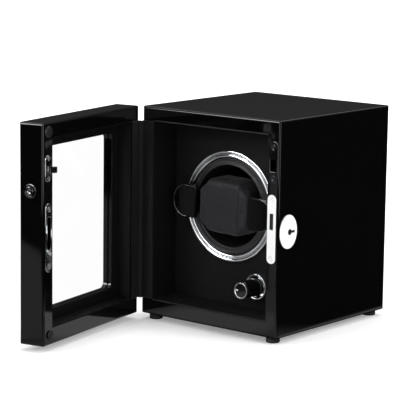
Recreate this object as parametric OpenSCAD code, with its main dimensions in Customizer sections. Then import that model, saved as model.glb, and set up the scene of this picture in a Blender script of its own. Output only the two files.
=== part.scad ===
// Single watch winder box: lacquered cabinet with a glazed, lockable door.
// Origin: on the standing surface, under the middle of the cabinet. +Z up, the
// cabinet's open front faces -Y, the door is hinged on the left (-X) side.

/* [Cabinet] */
// Outer width of the cabinet
body_w = 140; // [138:0.5:144]
// Outer depth of the cabinet
body_d = 147; // [145:0.5:155]
// Outer height of the cabinet, without the feet
body_h = 171.4; // [171.4:0.2:174]
// Thickness of the lacquered board
board_t = 10.8; // [10.4:0.1:11.2]
// Thickness of the leatherette covered lining
lining_t = 1.2; // [1:0.1:1.3]
// Radius on every outer edge of the lacquered board
edge_r = 2; // [1:0.25:2.5]
// Distance from the front of the cabinet to the inner front panel
panel_set = 29; // [28:0.5:30]
// Thickness of the inner front panel
panel_t = 4; // [3.5:0.25:4.5]

/* [Feet] */
// Height of each foot
foot_h = 4.6; // [4.4:0.1:4.8]
// Extra thickness of the bottom board, below the height that the inside is measured from
base_extra = 1.4; // [1.2:0.1:1.6]
// Radius of each foot
foot_r = 5.5; // [5:0.25:6]

/* [Door] */
// Thickness of the door
door_t = 22; // [21:0.5:24]
// Gap between the closed door and the cabinet
door_gap = 2.5; // [2.5:0.1:3]
// Angle by which the door stands open
door_open = 79; // [0:1:100]
// Width of the lacquered rim round the recess in the door
rim_w = 11.75; // [11.5:0.05:11.9]
// Width of the frame round the window
sash_w = 20; // [19:0.5:22]
// Radius of the window's corners
window_r = 5; // [4:0.5:7]

/* [Turntable] */
// Height of the turntable's axis above the cabinet's underside
axis_up = 92.3; // [91.5:0.1:93]
// Outer radius of the bright ring
ring_r = 45.4; // [44.5:0.1:46]
// Radius of the hole in the bright ring
ring_hole_r = 39.2; // [39:0.1:39.4]
// Inner radius of the rotating cup
cup_r = 33.2; // [33:0.1:33.4]
// Turn of the watch holder from upright
holder_turn = 2.5; // [0:0.5:4]

/* [Drive] */
// Gear module
gear_m = 1.25; // [1.25:0.01:1.26]
// Teeth on the turntable's gear
teeth_main = 40; // [40:1:40]
// Teeth on the motor's pinion
teeth_pinion = 14; // [14:1:14]

/* [Hidden] */
$fn = 64;

lacquer = [0.03, 0.03, 0.035];
leather = [0.09, 0.09, 0.095];
plastic = [0.07, 0.07, 0.08];
bright = [0.85, 0.86, 0.88];
steel = [0.6, 0.61, 0.63];

hw = body_w/2;                 // half width
yf = -body_d/2;                // front face
yb = body_d/2;                 // back face
u0 = foot_h;                   // underside
z0 = u0 + base_extra;          // height that the inside is measured from
z1 = foot_h + body_h;          // top
ix = hw - board_t;             // inner face of the side boards
iz0 = z0 + board_t;
iz1 = z1 - board_t;
ox = ix - lining_t;            // clear opening
oz0 = iz0 + lining_t;
oz1 = iz1 - lining_t;
py = yf + panel_set;           // front of the inner panel
pb = py + panel_t;             // back of the inner panel
az = z0 + axis_up;             // turntable axis
// vertical hinge axis
hx = -hw - 0.8;
hy = yf - door_gap/2;
hz0 = z0 + 16;                 // lower end of the hinge
hz1 = z1 - 16;                 // upper end of the hinge
// mode knob
kx = 27;
kz = z0 + 30;
// lock in the right board
lx = 63.2;
lock_y = yf + 12;
lock_z = z0 + 82.5;
// spring catch
kpx = 64.4;
hook_z = z0 + 135;
// gear pair
cdist = gear_m*(teeth_main + teeth_pinion)/2 + 0.15;
mz = az - cdist;               // motor axis
plate_y = 18;                  // front of the drive frame's plate

module bx(xa, xb, ya, yb_, za, zb) translate([xa, ya, za]) cube([xb - xa, yb_ - ya, zb - za]);

// A child drawn round the Z axis is laid along Y, its +Z pointing to the front.
module along_y(x, z) translate([x, 0, z]) rotate([90, 0, 0]) children();
// A round bar along Y from ya back to yb_.
module rod_y(x, z, r, ya, yb_) translate([x, yb_, z]) rotate([90, 0, 0]) cylinder(r = r, h = yb_ - ya);
// A round bar along X.
module rod_x(y, z, r, xa, xb) translate([xa, y, z]) rotate([0, 90, 0]) cylinder(r = r, h = xb - xa);

module rrect(w, h, r) {
  square([w - 2*r, h], center = true);
  square([w, h - 2*r], center = true);
  for (i = [-1, 1], j = [-1, 1]) translate([i*(w/2 - r), j*(h/2 - r)]) circle(r);
}
// A flat plate in the XZ plane with rounded corners.
module plate_y(x0, x1, za, zb, ya, yb_, r)
  translate([(x0 + x1)/2, yb_, (za + zb)/2]) rotate([90, 0, 0]) linear_extrude(yb_ - ya) rrect(x1 - x0, zb - za, r);
// A block whose outer edges are all rounded.
module soft_block(x0, x1, ya, yb_, za, zb, r) translate([(x0 + x1)/2, (ya + yb_)/2, (za + zb)/2]) {
  w = x1 - x0; d = yb_ - ya; h = zb - za;
  intersection() {
    translate([0, 0, -h/2]) linear_extrude(h) rrect(w, d, r);
    translate([0, d/2, 0]) rotate([90, 0, 0]) linear_extrude(d) rrect(w, h, r);
    translate([-w/2, 0, 0]) rotate([90, 0, 90]) linear_extrude(w) rrect(d, h, r);
  }
}
// Countersunk screws in a face that looks to -Y: flush head, shank into the board.
module screw_y(x, z, y, head_r, head_t, r, len) {
  difference() {
    union() {
      rod_y(x, z, head_r, y, y + head_t);
      rod_y(x, z, r, y + head_t - 0.2, y + len);
    }
    bx(x - head_r*0.62, x + head_r*0.62, y - 1, y + 0.4, z - 0.22, z + 0.22);
    bx(x - 0.22, x + 0.22, y - 1, y + 0.4, z - head_r*0.62, z + head_r*0.62);
  }
}

// Door coordinates: x runs from the hinge side to the free side, y = -depth from
// the inner face. The door is drawn closed and then swung open about the hinge axis.
module on_door() translate([hx, hy, 0]) rotate([0, 0, -door_open]) translate([-hx - hw, -hy + yf - door_gap, 0]) children();
module dbx(a0, a1, t0, t1, za, zb) bx(a0, a1, -t1, -t0, za, zb);
module dplate(a0, a1, za, zb, t0, t1, r) plate_y(a0, a1, za, zb, -t1, -t0, r);

// ---------- involute gear outline
function inv_a(t) = t*180/PI - atan(t);
function roll(r, rb) = sqrt(max(0, (r/rb)*(r/rb) - 1));
function flank(r, rb, rp, half) = half + inv_a(roll(rp, rb)) - inv_a(roll(r, rb));
function gear_pts(n, m, add, ded, back, ph) = let (rp = n*m/2, rb = rp*cos(25), ra = rp + add, rf = rp - ded,
    half = 90/n - back/(2*rp)*180/PI, rs = max(rb, rf + 0.15))
  [for (k = [0:n - 1]) let (c = k*360/n + ph)
    for (p = concat([[rf, -flank(rs, rb, rp, half)]],
        [for (i = [0:3]) let (r = rs + (ra - rs)*i/3) [r, -flank(r, rb, rp, half)]],
        [for (i = [3:-1:0]) let (r = rs + (ra - rs)*i/3) [r, flank(r, rb, rp, half)]],
        [[rf, flank(rs, rb, rp, half)]]))
      [p[0]*cos(c + p[1]), p[0]*sin(c + p[1])]];

// ---------- cabinet
module cabinet_shell() color(lacquer) difference() {
  soft_block(-hw, hw, yf, yb, u0, z1, edge_r);
  bx(-ix, ix, yf - 1, yb + 1, iz0, iz1);
  // rebate for the rear panel
  bx(-66, 66, 69, yb + 1, z0 + 4, z1 - 4);
  for (x = [-62.6, 62.6], z = [z0 + 12, z0 + 85, z1 - 12]) rod_y(x, z, 1.3, 60, 70);
  // hinge: groove for the barrel and seat for the leaf
  translate([hx, hy, hz0 - 1]) cylinder(r = 2.4, h = hz1 - hz0 + 2);
  bx(-hw - 1, -60, yf - 1, yf + 0.8, hz0, hz1);
  for (z = [hz0 + 18, (hz0 + hz1)/2, hz1 - 18]) rod_y(-64.5, z, 1, yf, yf + 8);
  // lock mortise, faceplate seat and keyhole
  bx(lx - 3, lx + 3, yf - 1, -51, lock_z - 16.5, lock_z + 21.5);
  plate_y(lx - 4, lx + 4, lock_z - 24.5, lock_z + 29.5, yf - 1, yf + 0.5, 3.9);
  for (z = [lock_z - 20.3, lock_z + 25.3]) rod_y(lx, z, 1, yf, yf + 8);
  rod_x(lock_y, lock_z, 4, lx + 2.5, hw + 1);
  bx(lx + 2.5, hw + 1, lock_y, lock_y + 7.5, lock_z - 1.3, lock_z + 1.3);
  // seat and pocket for the catch's keeper
  plate_y(kpx - 4.3, kpx + 4.3, z0 + 120.8, z0 + 153.6, yf - 1, yf + 0.5, 4.2);
  bx(60.6, 67.4, yf - 1, yf + 10.5, hook_z - 6.5, hook_z + 6.5);
  for (z = [z0 + 125.2, z0 + 149.2]) rod_y(kpx, z, 1, yf, yf + 8);
  // pilot holes for the feet
  for (x = [-1, 1], y = [-1, 1]) translate([x*60.5, y*65.5, u0 - 1]) cylinder(r = 1.5, h = 10.4);
}
module rear_panel() color(lacquer) difference() {
  bx(-65.8, 65.8, 69, yb - 0.5, z0 + 4.2, z1 - 4.2);
  for (x = [-62.6, 62.6], z = [z0 + 12, z0 + 85, z1 - 12]) { rod_y(x, z, 1.3, 60, 80); rod_y(x, z, 2.6, 71.5, 80); }
  rod_y(40, 40, 5.5, 60, 80);
  // air slots behind the motor
  for (i = [-3:3]) bx(-14, 14, 60, 80, 64 + i*6 - 1.25, 64 + i*6 + 1.25);
}
module rear_panel_screws() color(steel) for (x = [-62.6, 62.6], z = [z0 + 12, z0 + 85, z1 - 12]) difference() {
  union() { rod_y(x, z, 2.6, 71.5, 72.9); rod_y(x, z, 1.3, 61, 71.6); }
  bx(x - 1.6, x + 1.6, 72.4, 74, z - 0.25, z + 0.25);
  bx(x - 0.25, x + 0.25, 72.4, 74, z - 1.6, z + 1.6);
}
module liner_left() color(leather) bx(-ix, -ox, yf + 0.5, py, oz0, oz1);
module liner_right() color(leather) bx(ox, ix, yf + 0.5, py, oz0, oz1);
module liner_top() color(leather) bx(-ix, ix, yf + 0.5, py, oz1, iz1);
module liner_floor() color(leather) bx(-ix, ix, yf + 0.5, py, iz0, oz0);
module front_panel() color(leather) difference() {
  bx(-ix, ix, py, pb, iz0, iz1);
  rod_y(0, az, ring_hole_r + 0.8, py - 1, pb + 1);
  rod_y(kx, kz, 3.5, py - 1, pb + 1);
  for (x = [-46, 46], z = [az - 46, az + 46]) rod_y(x, z, 1.6, pb - 2.8, pb + 1);
}
module ring_bezel() color(bright) along_y(0, az) rotate_extrude($fn = 96) {
  // sleeve through the panel
  translate([ring_hole_r, -pb]) square([0.62, panel_t + 1]);
  translate([ring_hole_r, -py]) square([ring_r - ring_hole_r, 1.5]);
  // two raised beads with a groove between them
  translate([ring_hole_r + 1.45, -py + 1.5]) circle(r = 1.45);
  translate([ring_r - 1.5, -py + 1.5]) circle(r = 1.5);
}

// ---------- drive behind the panel
module drive_frame() color(plastic) difference() {
  union() {
    plate_y(-52, 52, az - 52, az + 52, plate_y, plate_y + 3, 6);
    for (x = [16, 40.5], z = [az + 18, az + 42]) { rod_y(x, z, 2.2, plate_y + 2.5, plate_y + 9); rod_y(x, z, 1.2, plate_y + 8, plate_y + 11.5); }
  }
  rod_y(0, az, 6, 0, 40);
  rod_y(0, mz, 3.5, 0, 40);
  for (x = [-8.5, 8.5]) rod_y(x, mz, 1.3, 0, 40);
  for (x = [-46, 46], z = [az - 46, az + 46]) rod_y(x, z, 1.6, 0, 40);
}
// four pillars that hold the frame off the panel
module drive_posts() color(plastic) for (x = [-46, 46], z = [az - 46, az + 46]) difference() {
  rod_y(x, z, 4.5, pb, plate_y);
  rod_y(x, z, 1.6, -60, 40);
}
module drive_frame_screws() color(steel) for (x = [-46, 46], z = [az - 46, az + 46]) difference() {
  union() { rod_y(x, z, 1.5, pb - 2.6, plate_y + 3.2); rod_y(x, z, 3, plate_y + 3, plate_y + 5.2); }
  bx(x - 1.8, x + 1.8, plate_y + 4.5, 30, z - 0.3, z + 0.3);
  bx(x - 0.3, x + 0.3, plate_y + 4.5, 30, z - 1.8, z + 1.8);
}
module spindle_bush() color("goldenrod") difference() {
  union() { rod_y(0, az, 6, 16, 24); rod_y(0, az, 8, 14.3, plate_y); }
  rod_y(0, az, 3.05, 0, 40);
}
module gearmotor() color(steel) difference() {
  union() {
    rod_y(0, mz, 3.5, plate_y + 0.4, 22);
    rod_y(0, mz, 12.5, plate_y + 3, 36);
    rod_y(0, mz, 12, 36, 54);
    rod_y(0, mz, 3, 54, 56);
    for (x = [-5, 5]) bx(x - 1.2, x + 1.2, 53, 58, mz - 0.4, mz + 0.4);
  }
  rod_y(0, mz, 2.05, 0, 31);
  for (x = [-8.5, 8.5]) rod_y(x, mz, 1.3, 10, 27);
}
module gearmotor_screws() color(bright) for (x = [-8.5, 8.5]) difference() {
  union() { rod_y(x, mz, 1.3, plate_y - 0.2, 26.5); rod_y(x, mz, 2.4, plate_y - 1.6, plate_y); }
  bx(x - 1.5, x + 1.5, 10, plate_y - 1.1, mz - 0.25, mz + 0.25);
}
module control_board() color("darkgreen") difference() {
  union() {
    bx(12, 48, plate_y + 9, plate_y + 10.6, az + 14, az + 48);
    bx(24, 36, plate_y + 10.5, plate_y + 12.2, az + 26, az + 36);
    rod_y(19, az + 31, 4, plate_y + 10.5, plate_y + 20);
    bx(38, 46, plate_y + 10.5, plate_y + 17, az + 21, az + 39);
    for (z = [az + 19, az + 42]) bx(24, 33, plate_y + 10.5, plate_y + 16, z - 2, z + 2);
  }
  for (x = [16, 40.5], z = [az + 18, az + 42]) rod_y(x, z, 1.2, plate_y + 8, plate_y + 12);
}
module spindle() color(steel) rod_y(0, az, 3, 0, 30);
module spindle_collar() color(bright) difference() {
  rod_y(0, az, 6, 24.3, 29.3);
  rod_y(0, az, 3, 20, 40);
}
module main_gear() color("ivory") along_y(0, az) difference() {
  union() {
    translate([0, 0, -14]) linear_extrude(6) polygon(gear_pts(teeth_main, gear_m, 1.1, 1.45, 0.26, 0));
  }
  translate([0, 0, -15]) cylinder(r = 3, h = 8);
  for (i = [0:5]) rotate([0, 0, i*60]) translate([13.5, 0, -15]) cylinder(r = 3.6, h = 8);
}
module pinion() color("ivory") along_y(0, mz) difference() {
  translate([0, 0, -14.6]) linear_extrude(7.2) polygon(gear_pts(teeth_pinion, gear_m, 1.1, 1.45, 0.26, 90 + 180/teeth_pinion));
  translate([0, 0, -16]) cylinder(r = 2, h = 10);
}
module output_shaft() color(bright) rod_y(0, mz, 2, 7, 30);

// ---------- turntable
// barrel and rim of the turning cup
module cup() color(plastic) along_y(0, az) rotate_extrude($fn = 96) {
  translate([cup_r, 0]) square([2.2, 46]);
  translate([cup_r, 45]) square([ring_hole_r - 0.4 - cup_r, 1.6]);
  translate([cup_r + 0.7, 46.4]) circle(r = 0.7);
  translate([ring_hole_r - 1, 46.2]) circle(r = 0.6);
}
// back wall and hub of the cup
module cup_hub() color(plastic) difference() {
  union() {
  along_y(0, az) rotate_extrude($fn = 96) difference() {
    union() {
      translate([0, -2.5]) square([cup_r + 2.2, 2.5]);
      translate([0, -8]) square([10, 6]);
    }
    translate([-1, -9]) square([4, 12]);
  }
  // square post on the back wall that the holder plugs onto
  translate([0, 0, az]) rotate([0, holder_turn, 0]) bx(-8, 8, -12, 0.5, -8, 8);
  }
  // bore for the spindle
  rod_y(0, az, 3, 0, 9);
}

// ---------- watch holder
module d_ear() {
  // flat inner side, half-round outer end
  translate([0, -13.4]) square([10.2, 26.8]);
  translate([10.2, 0]) circle(r = 13.4);
}
module holder_frame() color(plastic) translate([0, 0, az]) rotate([0, holder_turn, 0]) difference() {
  union() {
    // back plate and square socket
    rotate([90, 0, 0]) translate([0, 0, 12.3]) cylinder(r = 31, h = 3);
    bx(-11, 11, -13, -0.6, -11, 11);
    for (s = [-1, 1]) scale1(s) {
      // side arm
      bx(26.75, 29.75, -57, -14, -9, 9);
      // D-shaped ear
      translate([26.75, -54.5, 0]) rotate([90, 0, 0]) linear_extrude(3) intersection() { d_ear(); translate([0, -20]) square([40, 40]); }
      // spigot that carries the cushion
      bx(14, 27.5, -46, -34, -7, 7);
    }
  }
  // socket
  bx(-8.3, 8.3, -12.4, 1, -8.3, 8.3);
}
module scale1(s) if (s < 0) mirror([1, 0, 0]) children(); else children();
module holder_pad() color(leather) translate([0, 0, az]) rotate([0, holder_turn, 0]) difference() {
  rotate([90, 0, 0]) translate([0, 0, 27]) linear_extrude(28.5)
    polygon([[-15.5, -22.3], [15.5, -22.3], [26, -12.5], [26, 12.5], [15.5, 22.3], [-15.5, 22.3], [-26, 12.5], [-26, -12.5]]);
  for (s = [-1, 1]) scale1(s) bx(14, 30, -46, -34, -7, 7);
}

// ---------- mode switch and knob
module switch_body() color(plastic) difference() {
  union() {
    bx(kx - 8.5, kx + 8.5, pb, pb + 10, kz - 8.5, kz + 8.5);
    rod_y(kx, kz, 3.5, py - 2, pb + 0.5);
    for (i = [-1, 0, 1]) bx(kx + i*5 - 0.8, kx + i*5 + 0.8, pb + 9.5, pb + 14, kz - 4.4, kz - 3.8);
  }
  rod_y(kx, kz, 3.05, py - 5, pb + 7);
}
module switch_nut() color(bright) difference() {
  translate([kx, py, kz]) rotate([90, 0, 0]) cylinder(r = 5.6, h = 1.7, $fn = 6);
  rod_y(kx, kz, 3.5, py - 5, py + 1);
}
module switch_shaft() color(steel) rod_y(kx, kz, 3, py - 17.5, pb + 6.5);
module knob_bezel() color(bright) along_y(kx, kz) rotate_extrude()
  polygon([[6.1, -py], [11, -py], [11, -py + 0.8], [10.2, -py + 2], [9.3, -py + 2], [7.6, -py + 1], [6.1, -py + 1]]);
module knob() color(plastic) along_y(kx, kz) rotate_extrude()
  polygon([[3, -py + 2.3], [7.7, -py + 2.3], [7.7, -py + 4], [6.6, -py + 18.9], [5.5, -py + 18.9], [5.5, -py + 20.4], [0, -py + 20.4], [0, -py + 17.5], [3, -py + 17.5]]);
module knob_ring() color(bright) along_y(kx, kz) rotate_extrude() {
  translate([5.5, -py + 18.9]) square([1.1, 1.4]);
  translate([6.05, -py + 20.3]) circle(r = 0.55);
}
module knob_pointer() color("white") bx(kx - 5.3, kx - 2.6, py - 20.8, py - 20.4, kz - 0.55, kz + 0.55);

// ---------- power inlet in the rear panel
module dc_jack() color(plastic) difference() {
  union() { rod_y(40, 40, 5.5, 60, 73.2); rod_y(40, 40, 7.5, yb - 0.5, 75); for (x = [37, 43]) bx(x - 0.9, x + 0.9, 56, 61, 39.7, 40.3); }
  difference() { rod_y(40, 40, 2.75, 65, 80); rod_y(40, 40, 1.05, 60, 74); }
}
module dc_jack_nut() color(bright) difference() {
  translate([40, 69, 40]) rotate([90, 0, 0]) cylinder(r = 8, h = 2.4, $fn = 6);
  rod_y(40, 40, 5.5, 60, 80);
}

// ---------- lock
module stadium_x(xa, xb, r, dz) translate([xa, lock_y, lock_z]) rotate([90, 0, 90]) linear_extrude(xb - xa) {
  for (s = [-1, 1]) translate([0, s*dz]) circle(r);
  square([2*r, 2*dz], center = true);
}
module keyhole(xa, xb) { rod_x(lock_y, lock_z, 2.4, xa, xb); bx(xa, xb, lock_y, lock_y + 6.4, lock_z - 1, lock_z + 1); }
module lock_case() color(steel) difference() {
  union() {
    difference() {
      bx(lx - 3, lx + 3, yf + 0.5, -51, lock_z - 16.5, lock_z + 21.5);
      bx(lx - 2.2, lx + 2.2, yf + 1.3, -51.8, lock_z - 15.7, lock_z + 20.7);
    }
    // fixed post for the key's barrel
    rod_x(lock_y, lock_z, 0.8, lx - 2.4, lx + 2.6);
  }
  keyhole(lx + 1, lx + 5);
  bx(lx - 1.8, lx + 1.8, yf - 2, yf + 2, lock_z + 2.1, lock_z + 14.9);
}
module lock_faceplate() color(bright) difference() {
  plate_y(lx - 4, lx + 4, lock_z - 24.5, lock_z + 29.5, yf - 0.7, yf + 0.5, 3.9);
  bx(lx - 1.8, lx + 1.8, yf - 2, yf + 2, lock_z + 2.1, lock_z + 14.9);
  for (z = [lock_z - 20.3, lock_z + 25.3]) rod_y(lx, z, 1.9, yf - 2, yf + 2);
}
module lock_screws() color(bright) for (z = [lock_z - 20.3, lock_z + 25.3]) screw_y(lx, z, yf - 0.8, 1.9, 1.3, 1, 8.5);
module lock_escutcheon() color(bright) difference() {
  union() { stadium_x(hw, hw + 1.1, 10.6, 2.8); stadium_x(hw + 1, hw + 1.7, 9.6, 2.8); stadium_x(hw + 1.6, hw + 2.1, 8.2, 2.8); }
  keyhole(hw - 1, hw + 4);
}
module lock_bolt() color(bright) difference() {
  bx(lx - 1.5, lx + 1.5, yf - 0.5, -57, lock_z + 2.4, lock_z + 14.6);
  // notch behind the hooked nose, and the key's notch
  bx(lx - 2, lx + 2, yf + 2.2, yf + 5.6, lock_z + 11, lock_z + 16);
  bx(lx - 2, lx + 2, -65, -61, lock_z + 2, lock_z + 5);
}
module keeper_plate() color(steel) difference() {
  plate_y(kpx - 4.3, kpx + 4.3, z0 + 120.8, z0 + 153.6, yf - 0.7, yf + 0.5, 4.2);
  bx(60.95, 66.9, yf - 2, yf + 2, hook_z - 5, hook_z + 5);
  for (z = [z0 + 125.2, z0 + 149.2]) rod_y(kpx, z, 1.9, yf - 2, yf + 2);
}
module keeper_screws() color(bright) for (z = [z0 + 125.2, z0 + 149.2]) screw_y(kpx, z, yf - 0.8, 1.9, 1.3, 1, 8.5);

// ---------- feet
module feet() color([0.05, 0.05, 0.05]) for (x = [-1, 1], y = [-1, 1]) translate([x*60.5, y*65.5, 0]) difference() {
  rotate_extrude() polygon([[0, 0], [foot_r - 0.6, 0], [foot_r, 0.6], [foot_r, u0], [0, u0]]);
  translate([0, 0, -1]) cylinder(r = 3.2, h = 4);
  cylinder(r = 1.5, h = 10);
}
module foot_screws() color(steel) for (x = [-1, 1], y = [-1, 1]) translate([x*60.5, y*65.5, 0]) difference() {
  union() { translate([0, 0, 1.2]) cylinder(r = 2.9, h = 1.8); translate([0, 0, 2.8]) cylinder(r = 1.5, h = z0 + 7.8 - 2.8); }
  translate([-1.7, -0.25, 1]) cube([3.4, 0.5, 0.8]);
}

// ---------- hinge: five knuckles, three on the cabinet's leaf and two on the door's
kn = (hz1 - hz0)/5;
module knuckles(rows) for (i = rows) translate([0, 0, hz0 + i*kn + 0.15]) {
  cylinder(r = 2, h = kn - 0.3);
  translate([0, 1.25, 0]) cube([4, 0.8, kn - 0.3]);
}
// leaf drawn at the hinge axis, lying on the cabinet's side of the gap
module leaf(rows) difference() {
  union() {
    knuckles(rows);
    translate([2.5, 1.25, hz0 + 0.15]) cube([8.2, 0.8, hz1 - hz0 - 0.3]);
  }
  translate([0, 0, hz0 - 1]) cylinder(r = 1.05, h = hz1 - hz0 + 2);
  for (z = [hz0 + 18, (hz0 + hz1)/2, hz1 - 18]) translate([6.3, 5, z]) rotate([90, 0, 0]) cylinder(r = 1.9, h = 10);
}
module leaf_screws() for (z = [hz0 + 18, (hz0 + hz1)/2, hz1 - 18]) translate([6.3, 0, z]) {
  translate([0, 2.05, 0]) rotate([90, 0, 0]) cylinder(r = 1.9, h = 0.75);
  translate([0, 9, 0]) rotate([90, 0, 0]) cylinder(r = 1, h = 7.2);
}
module hinge_leaf_body() color("goldenrod") translate([hx, hy, 0]) leaf([0, 2, 4]);
module hinge_screws_body() color("goldenrod") translate([hx, hy, 0]) leaf_screws();
module hinge_pin() color(steel) translate([hx, hy, hz0]) cylinder(r = 1, h = hz1 - hz0);
module hinge_leaf_door() color("goldenrod") translate([hx, hy, 0]) rotate([0, 0, -door_open]) mirror([0, 1, 0]) leaf([1, 3]);
module hinge_screws_door() color("goldenrod") translate([hx, hy, 0]) rotate([0, 0, -door_open]) mirror([0, 1, 0]) leaf_screws();
// Leatherette strip over the hinge: flat on the stile, round the barrel, flat on the door's rim.
cr = 2.95;                      // middle radius of the bend
ct = 0.45;                      // half the strip's thickness
ca = 16.5;                      // angle at which the strip leaves the stile
module hinge_cover() color(leather) translate([hx, hy, oz0]) linear_extrude(oz1 - oz0) {
  n = 18;
  a0 = ca; a1 = -door_open - ca;
  polygon(concat([for (i = [0:n]) let (a = a0 + (a1 - a0)*i/n) (cr + ct)*[cos(a), sin(a)]],
    [for (i = [n:-1:0]) let (a = a0 + (a1 - a0)*i/n) (cr - ct)*[cos(a), sin(a)]]));
  translate([2.75, 0.35]) square([10.05, 0.85]);
  rotate(-door_open) translate([2.75, -1.2]) square([9.8, 0.85]);
}

// ---------- door
da0 = rim_w; da1 = body_w - rim_w;          // recess
dz0 = z0 + rim_w - 0.05; dz1 = z1 - rim_w + 0.05;
wa0 = sash_w; wa1 = body_w - sash_w;        // window
wz0 = z0 + sash_w + 1.3; wz1 = z1 - sash_w - 1.3;
btn_z = z0 + 118;
module door_frame() color(lacquer) on_door() difference() {
  soft_block(0, body_w, -door_t, 0, u0, z1, edge_r);
  dbx(da0, da1, -1, door_t - 6, dz0, dz1);
  dbx(wa0 - 3.5, wa1 + 3.5, door_t - 6.1, door_t - 3.8, wz0 - 3.5, wz1 + 3.5);
  dplate(wa0, wa1, wz0, wz1, door_t - 4, door_t + 1, window_r);
  // hinge groove, leaf seat and screw holes
  translate([hx + hw, hy - yf + door_gap, hz0 - 1]) cylinder(r = 2.4, h = hz1 - hz0 + 2);
  dbx(-1, 10, -1, 0.8, hz0, hz1);
  for (z = [hz0 + 18, (hz0 + hz1)/2, hz1 - 18]) rod_y(5.5, z, 1, -8, 1);
  // strike plate seat and pocket for the bolt
  dplate(129.3, 137.9, lock_z - 26.5, lock_z + 26.3, -1, 0.5, 4.2);
  dbx(131, 136.2, -1, 11, lock_z - 9.5, lock_z + 15.5);
  for (z = [lock_z - 22, lock_z + 21.8]) rod_y(133.6, z, 1, -8, 1);
  // catch plate seat, slot and the cavity for the catch's slide
  dplate(129.6, 138.2, z0 + 125, z0 + 145.6, -1, 0.5, 4.2);
  dbx(130.6, 135.8, -1, 2, hook_z - 4, hook_z + 4);
  dbx(129.2, 135.8, 1, 15.9, btn_z - 4.2, hook_z + 5);
  for (z = [z0 + 127.6, z0 + 143]) rod_y(133.9, z, 1, -7, 1);
  // button bore and bezel seat
  rod_x(-12, btn_z, 3.7, 135, body_w + 1);
  rod_x(-12, btn_z, 5.5, body_w - 1, body_w + 1);
}
module door_liner() color(leather) on_door() difference() {
  dbx(da0, da1, 0.4, door_t - 8.5, dz0, dz1);
  dbx(da0 + 1, da1 - 1, -1, door_t - 9.5, dz0 + 1, dz1 - 1);
  dplate(wa0 + 0.6, wa1 - 0.6, wz0 - 0.6, wz1 + 0.6, 0, door_t, window_r);
}
module window_trim() color(lacquer) on_door() difference() {
  dbx(da0, da1, door_t - 8.5, door_t - 6, dz0, dz1);
  dplate(wa0, wa1, wz0, wz1, 0, door_t, window_r);
}
module window_pane() color([0.8, 0.85, 0.87, 0.3]) on_door() dbx(wa0 - 3.3, wa1 + 3.3, door_t - 6, door_t - 4, wz0 - 3.3, wz1 + 3.3);
module door_bumpers() color([0.2, 0.2, 0.2]) on_door() {
  rod_y(134, z0 + 163, 4.5, 0, 2.2);
  rod_y(131.7, z0 + 6.8, 3.5, 0, 2.2);
}
module strike_plate() color(bright) on_door() difference() {
  dplate(129.3, 137.9, lock_z - 26.5, lock_z + 26.3, -0.7, 0.5, 4.2);
  dbx(131.2, 135.6, -2, 2, lock_z - 9.5, lock_z + 15.5);
  for (z = [lock_z - 22, lock_z + 21.8]) rod_y(133.6, z, 1.9, -2, 2);
}
module dscrew(a, z) mirror([0, 1, 0]) screw_y(a, z, -0.8, 1.9, 1.3, 1, 7.5);
module strike_screws() color(bright) on_door() for (z = [lock_z - 22, lock_z + 21.8]) dscrew(133.6, z);
module catch_plate() color(bright) on_door() difference() {
  dplate(129.6, 138.2, z0 + 125, z0 + 145.6, -0.7, 0.5, 4.2);
  dbx(130.8, 135.6, -2, 2, hook_z - 3, hook_z + 3);
  for (z = [z0 + 127.6, z0 + 143]) rod_y(133.9, z, 1.5, -2, 2);
}
module catch_screws() color(bright) on_door() for (z = [z0 + 127.6, z0 + 143]) mirror([0, 1, 0]) screw_y(133.9, z, -0.8, 1.5, 1.3, 1, 6.5);
module button_bezel() color(bright) on_door() difference() {
  union() { rod_x(-12, btn_z, 5.5, body_w - 1, body_w + 0.5); rod_x(-12, btn_z, 5, body_w + 0.4, body_w + 0.8); }
  rod_x(-12, btn_z, 3.7, body_w - 2, body_w + 2);
}
module push_button() color(steel) on_door() difference() {
  union() {
    rod_x(-12, btn_z, 3.4, 136.5, body_w + 1.6);
    rod_x(-12, btn_z, 1.5, 133.8, 137);
  }
  translate([body_w + 5.4, -12, btn_z]) sphere(r = 4.4);
}
module catch_hook() color(bright) on_door() {
  // slide behind the plate
  dbx(132.2, 133.8, 10.5, 13.5, btn_z - 2, hook_z + 2.2);
  // arm and hooked nose
  dbx(132.8, 135.2, -5.5, 13.5, hook_z - 2, hook_z + 2);
  dbx(132.8, 136.4, -7.5, -5.2, hook_z - 2.2, hook_z + 2.2);
}
module button_spring() color(steel) on_door() difference() {
  rod_x(-12, btn_z, 1.9, 129.2, 132.2);
  rod_x(-12, btn_z, 1.3, 129, 133);
}

cabinet_shell();
rear_panel();
rear_panel_screws();
liner_left();
liner_right();
liner_top();
liner_floor();
front_panel();
ring_bezel();
drive_frame();
drive_posts();
drive_frame_screws();
spindle_bush();
gearmotor();
gearmotor_screws();
control_board();
switch_body();
switch_nut();
knob_bezel();
dc_jack();
dc_jack_nut();
lock_case();
lock_faceplate();
lock_screws();
lock_escutcheon();
lock_bolt();
keeper_plate();
keeper_screws();
feet();
foot_screws();
hinge_leaf_body();
hinge_pin();
hinge_screws_body();
hinge_cover();
door_frame();
door_liner();
window_trim();
window_pane();
door_bumpers();
strike_plate();
strike_screws();
catch_plate();
catch_screws();
button_bezel();
hinge_leaf_door();
hinge_screws_door();
push_button();
catch_hook();
button_spring();
cup();
cup_hub();
spindle();
main_gear();
spindle_collar();
holder_frame();
holder_pad();
pinion();
output_shaft();
knob();
knob_ring();
knob_pointer();
switch_shaft();
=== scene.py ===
import math

import bmesh
import bpy
import numpy as np
from mathutils import Matrix, Vector, noise


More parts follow.
